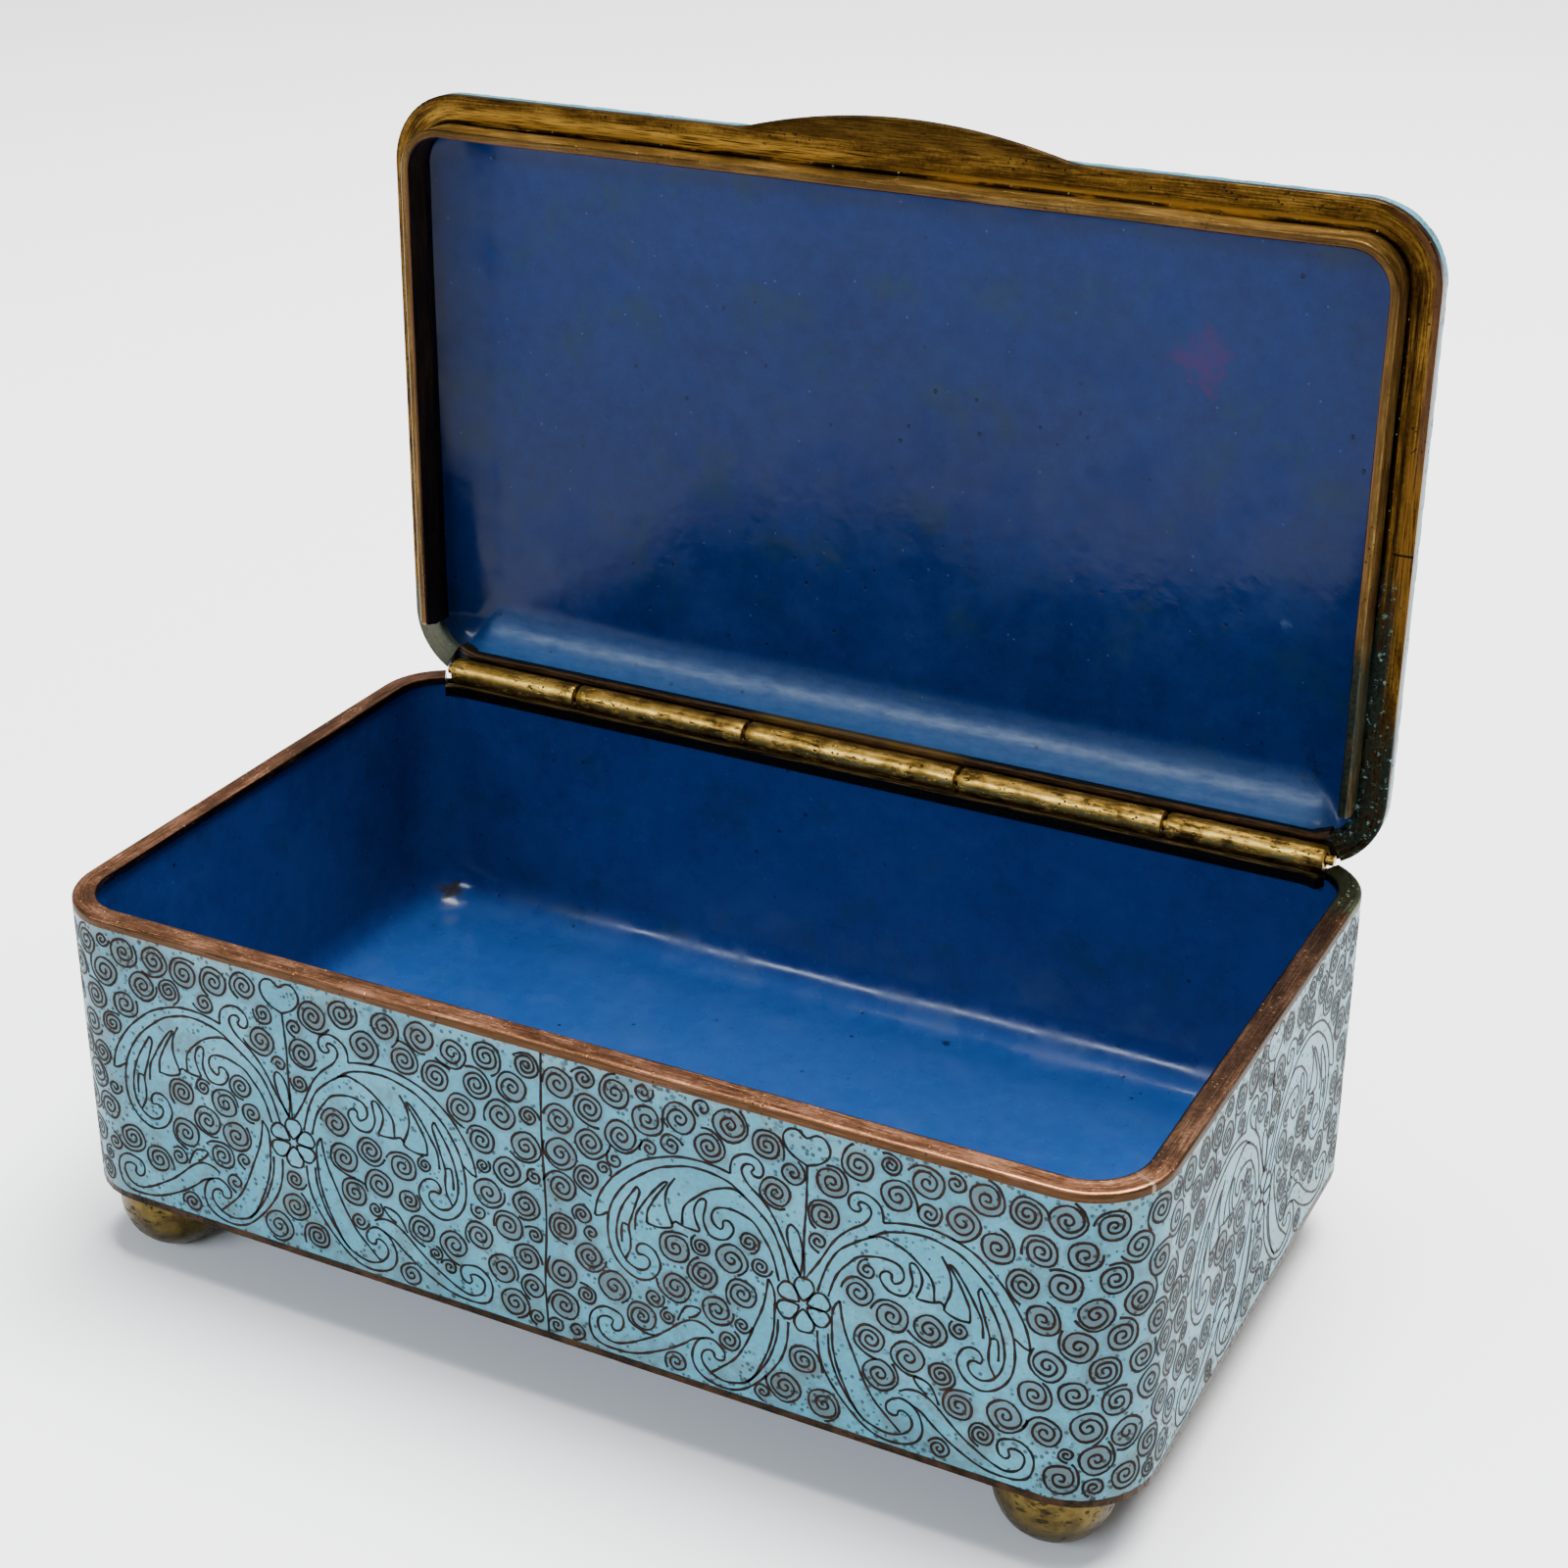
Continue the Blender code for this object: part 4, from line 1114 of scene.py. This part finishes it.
def build_lid_rim():
    """The brass strip on the lid's mouth, with the crescent thumb tab at its front."""
    plain = rim_section(3.36, 1.0, 0.2)
    bar = gutter_section(len(plain))
    middle = AROUND / 2
    half, proud, offset = 20.0, 2.9, 3.2
    sweep = (half ** 2 + proud ** 2) / (2 * proud)

    def profile(s):
        if abs(s - middle) < BAR_HALF:
            return bar
        wave = 0.06 * float(ripple(np.array(s), np.array(0.0), 15, 25))
        away = (s if s < middle else s - AROUND) - offset
        tab = sqrt(max(0.0, sweep ** 2 - away ** 2)) - (sweep - proud) if abs(away) < half else 0.0
        out = []
        for d, h in plain:
            h = h + (0.4 * wave if h < 0.3 and d > 1 else 0)
            share = max(0.0, 1 - d / 0.5)
            if tab > 0:
                d = d - tab * share
                h = h * (1 - 0.25 * min(1, tab) * share)
            out.append((d + (wave if d > 1.2 else 0), h))
        return out

    ring_strip("lid_rim_strip", profile, MATING_PLANE, 1, RIM_BRASS, "lid",
               ["lid_rim"], lid=True)


def build_flange():
    """The strip inside the lid's rim, open along the hinge, its edge rolled by wear."""
    reach, root, thickness, inset = 4.0, 0.9, 1.0, 3.3
    end = HALF_Y - (AXIS_Y - 6.0)
    start = RUN_X + ARC + RUN_Y + (HALF_Y - end)
    last = AROUND - start
    marks = [s for s in stations(1.4, 0.8) if s < start or s > last]
    front = sorted([s - AROUND if s > AROUND / 2 else s for s in marks])
    front = [-start] + [s for s in front if abs(s) < start - 0.1] + [start]
    e, taper = 0.16, 1.6
    section = [(0, root), (0, 0), (0, -reach + 0.6), (0, -reach + e), (e, -reach),
               (thickness - e, -reach), (thickness, -reach + e), (thickness, -reach + 0.6),
               (thickness, 0), (thickness, root)]
    blocks, lays = [], []
    for s in front:
        ends = min(1.0, (start - abs(s)) / taper)
        round_off = 1 - sqrt(max(0.0, 1 - (1 - ends) ** 2))
        wave = 0.07 * float(ripple(np.array(s), np.array(0.0), 77, 22))
        d = np.array([p[0] for p in section]) + inset + wave
        h = np.array([p[1] for p in section])
        h = np.where(h < 0, h * (1 - 0.45 * round_off) + 0.05 * wave, h)
        blocks.append(ring(np.full(len(d), s), d, MATING_PLANE + h))
        lays.append(np.stack([np.full(len(d), s), d, h], -1))
    points = np.vstack(blocks)
    n = len(section)
    faces = grid_faces(len(front), n, close_columns=True)
    faces.append(list(range(n))[::-1])
    last = (len(front) - 1) * n
    faces.append([last + i for i in range(n)])
    piece("lid_inner_flange", points, faces, FLANGE_BRASS, "lid", ["lid_flange"],
          lid=True, notes={"lay": np.vstack(lays)})


def build_hinge():
    """Knuckles with softened ends and slight dents."""
    shares = (19.4, 24.0, 28.2, 25.7, 19.7)
    half, radius, bore = 58.5, 1.57, 0.9
    # Room between barrels, and how far the outer ends keep off the lid's rim
    room, set_back = 0.25, 0.95
    unit = 2 * half / sum(shares)
    start = -half
    for number, share in enumerate(shares, start=1):
        end = start + share * unit
        left = start + (room if number > 1 else set_back)
        right = end - (room if number < 5 else set_back)
        profile = [(bore, right), (1.3, right), (1.48, right - 0.06), (1.56, right - 0.2)]
        steps = 22
        for k in range(1, steps):
            x = right - 0.3 + (left - right + 0.6) * k / steps
            profile.append((radius, x))
        profile += [(1.56, left + 0.2), (1.48, left + 0.06), (1.3, left), (bore, left)]
        turned(f"hinge_barrel_{number}", profile, (0, AXIS_Y, AXIS_Z), HINGE_BRASS,
               "lid" if number % 2 == 0 else "box", [f"hinge_knuckle_{number}"],
               steps=40, axis="X", dents=0.03, seed=number, bored=True)
        start = end


TURQUOISE = turquoise_enamel()
BLUE_BODY = blue_enamel(
    "blue_enamel_body", (0.004, 0.016, 0.095), (0.008, 0.032, 0.142), 0.0, 0.30, 0.21,
    [((-58.0, 33.0, 1.6), 2.2, (0.020, 0.016, 0.010), 0.9),
     ((14.8, 30.6, 0.0), 0.8, (0.004, 0.004, 0.004), 0.8)])
BLUE_LID = blue_enamel(
    "blue_enamel_lid", (0.0012, 0.0100, 0.056), (0.0040, 0.0195, 0.096), 70.0, 0.11, 0.13,
    [((37.4, 41.7, 85.8), 4.6, (0.035, 0.010, 0.070), 0.6),
     ((53.0, 40.5, 41.0), 2.6, (0.008, 0.008, 0.005), 0.85),
     ((-21.5, 41.7, 84.6), 0.9, (0.003, 0.004, 0.004), 0.9),
     ((-31.0, 41.7, 70.6), 0.7, (0.003, 0.004, 0.005), 0.8),
     ((35.7, 41.7, 93.2), 0.7, (0.003, 0.004, 0.005), 0.8),
     ((31.7, 41.7, 58.6), 0.7, (0.05, 0.10, 0.17), 0.6),
     ((49.0, 41.7, 57.1), 1.2, (0.06, 0.11, 0.19), 0.5)])
WIRE = wire_copper()
RIM_COPPER = body_rim_copper()
RIM_BRASS = lid_rim_brass()
FLANGE_BRASS = flange_brass()
HINGE_BRASS = cast_brass("hinge_brass", (0.72, 0.44, 0.090), (0.44, 0.25, 0.045),
                         (0.10, 0.055, 0.013), 0.27, 0.35)
FOOT_BRASS = cast_brass("foot_brass", (0.100, 0.070, 0.019), (0.068, 0.047, 0.014),
                         (0.042, 0.028, 0.010), 0.26, 0.0)
BASE_COPPER = cast_brass("base_copper", (0.040, 0.021, 0.011), (0.022, 0.012, 0.007),
                         (0.008, 0.005, 0.003), 0.35, 0.3)

build_body_enamel()
build_body_lining()
build_body_rim()
build_feet()
build_lid_enamel()
build_lid_rim()
build_flange()
build_hinge()

for name, metal in (("base_plate", BASE_COPPER), ("hinge_pin", HINGE_BRASS)):
    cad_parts[name].data.materials.clear()
    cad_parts[name].data.materials.append(metal)


# Floor, light and camera

def floor_and_light():
    """Pale floor, even surroundings, a large lamp overhead and a narrow window in front."""
    f = Finish("pale_floor", roughness=0.7, colour=(0.92, 0.92, 0.915),
               **{"Specular IOR Level": 0.1})
    mesh = bpy.data.meshes.new("floor")
    reach, z = 3.0, FEET_PLANE * MM
    corners = ((-1, -1), (1, -1), (1, 1), (-1, 1))
    mesh.from_pydata([(reach * x, reach * y, z) for x, y in corners], [], [(0, 1, 2, 3)])
    mesh.materials.append(f.material)
    floor = bpy.data.objects.new("floor", mesh)
    bpy.context.scene.collection.objects.link(floor)
    world = bpy.data.worlds.new("studio")
    world.use_nodes = True
    world.node_tree.nodes["Background"].inputs["Color"].default_value = (1, 1, 1, 1)
    world.node_tree.nodes["Background"].inputs["Strength"].default_value = 0.30
    bpy.context.scene.world = world
    for name, place, size, power, tint in (
            ("overhead", (0.12, 0.26, 1.22), (0.85, 0.85), 72.0, (1, 1, 1)),
            ("window", (-0.20, -0.78, 0.50), (0.80, 0.10), 7.0, (0.74, 0.86, 1.0))):
        lamp = bpy.data.lights.new(name, "AREA")
        lamp.shape = "RECTANGLE"
        lamp.size, lamp.size_y = size
        lamp.energy, lamp.color = power, tint
        shine = bpy.data.objects.new(name, lamp)
        shine.location = place
        aim = Vector((0, 0, 0.02)) - Vector(place)
        shine.rotation_euler = aim.to_track_quat("-Z", "Y").to_euler()
        bpy.context.scene.collection.objects.link(shine)


def camera():
    """The camera as fitted to the photo."""
    lens = bpy.data.cameras.new("camera")
    lens.sensor_width = 36
    # Fitted to the photo: its side, the focal length and the sight line's place in pixels
    side, focal, centre_x, centre_y = 1600, 2835.36, 758.69, 744.53
    lens.lens = 36 * focal / side
    lens.shift_x = (side / 2 - centre_x) / side
    lens.shift_y = (centre_y - side / 2) / side
    lens.clip_start, lens.clip_end = 0.01, 20
    eye = bpy.data.objects.new("camera", lens)
    yaw, pitch, roll = radians(27.83), radians(24.74), radians(-0.20)
    look = Vector((-sin(yaw) * cos(pitch), cos(yaw) * cos(pitch), -sin(pitch)))
    right = Vector((cos(yaw), sin(yaw), 0))
    up = right.cross(look)
    right, up = right * cos(roll) + up * sin(roll), up * cos(roll) - right * sin(roll)
    turn = Matrix((right, up, -look)).transposed()
    eye.matrix_world = Matrix.Translation((0.12849, -0.23694, 0.17548)) @ turn.to_4x4()
    bpy.context.scene.collection.objects.link(eye)
    bpy.context.scene.camera = eye


floor_and_light()
camera()
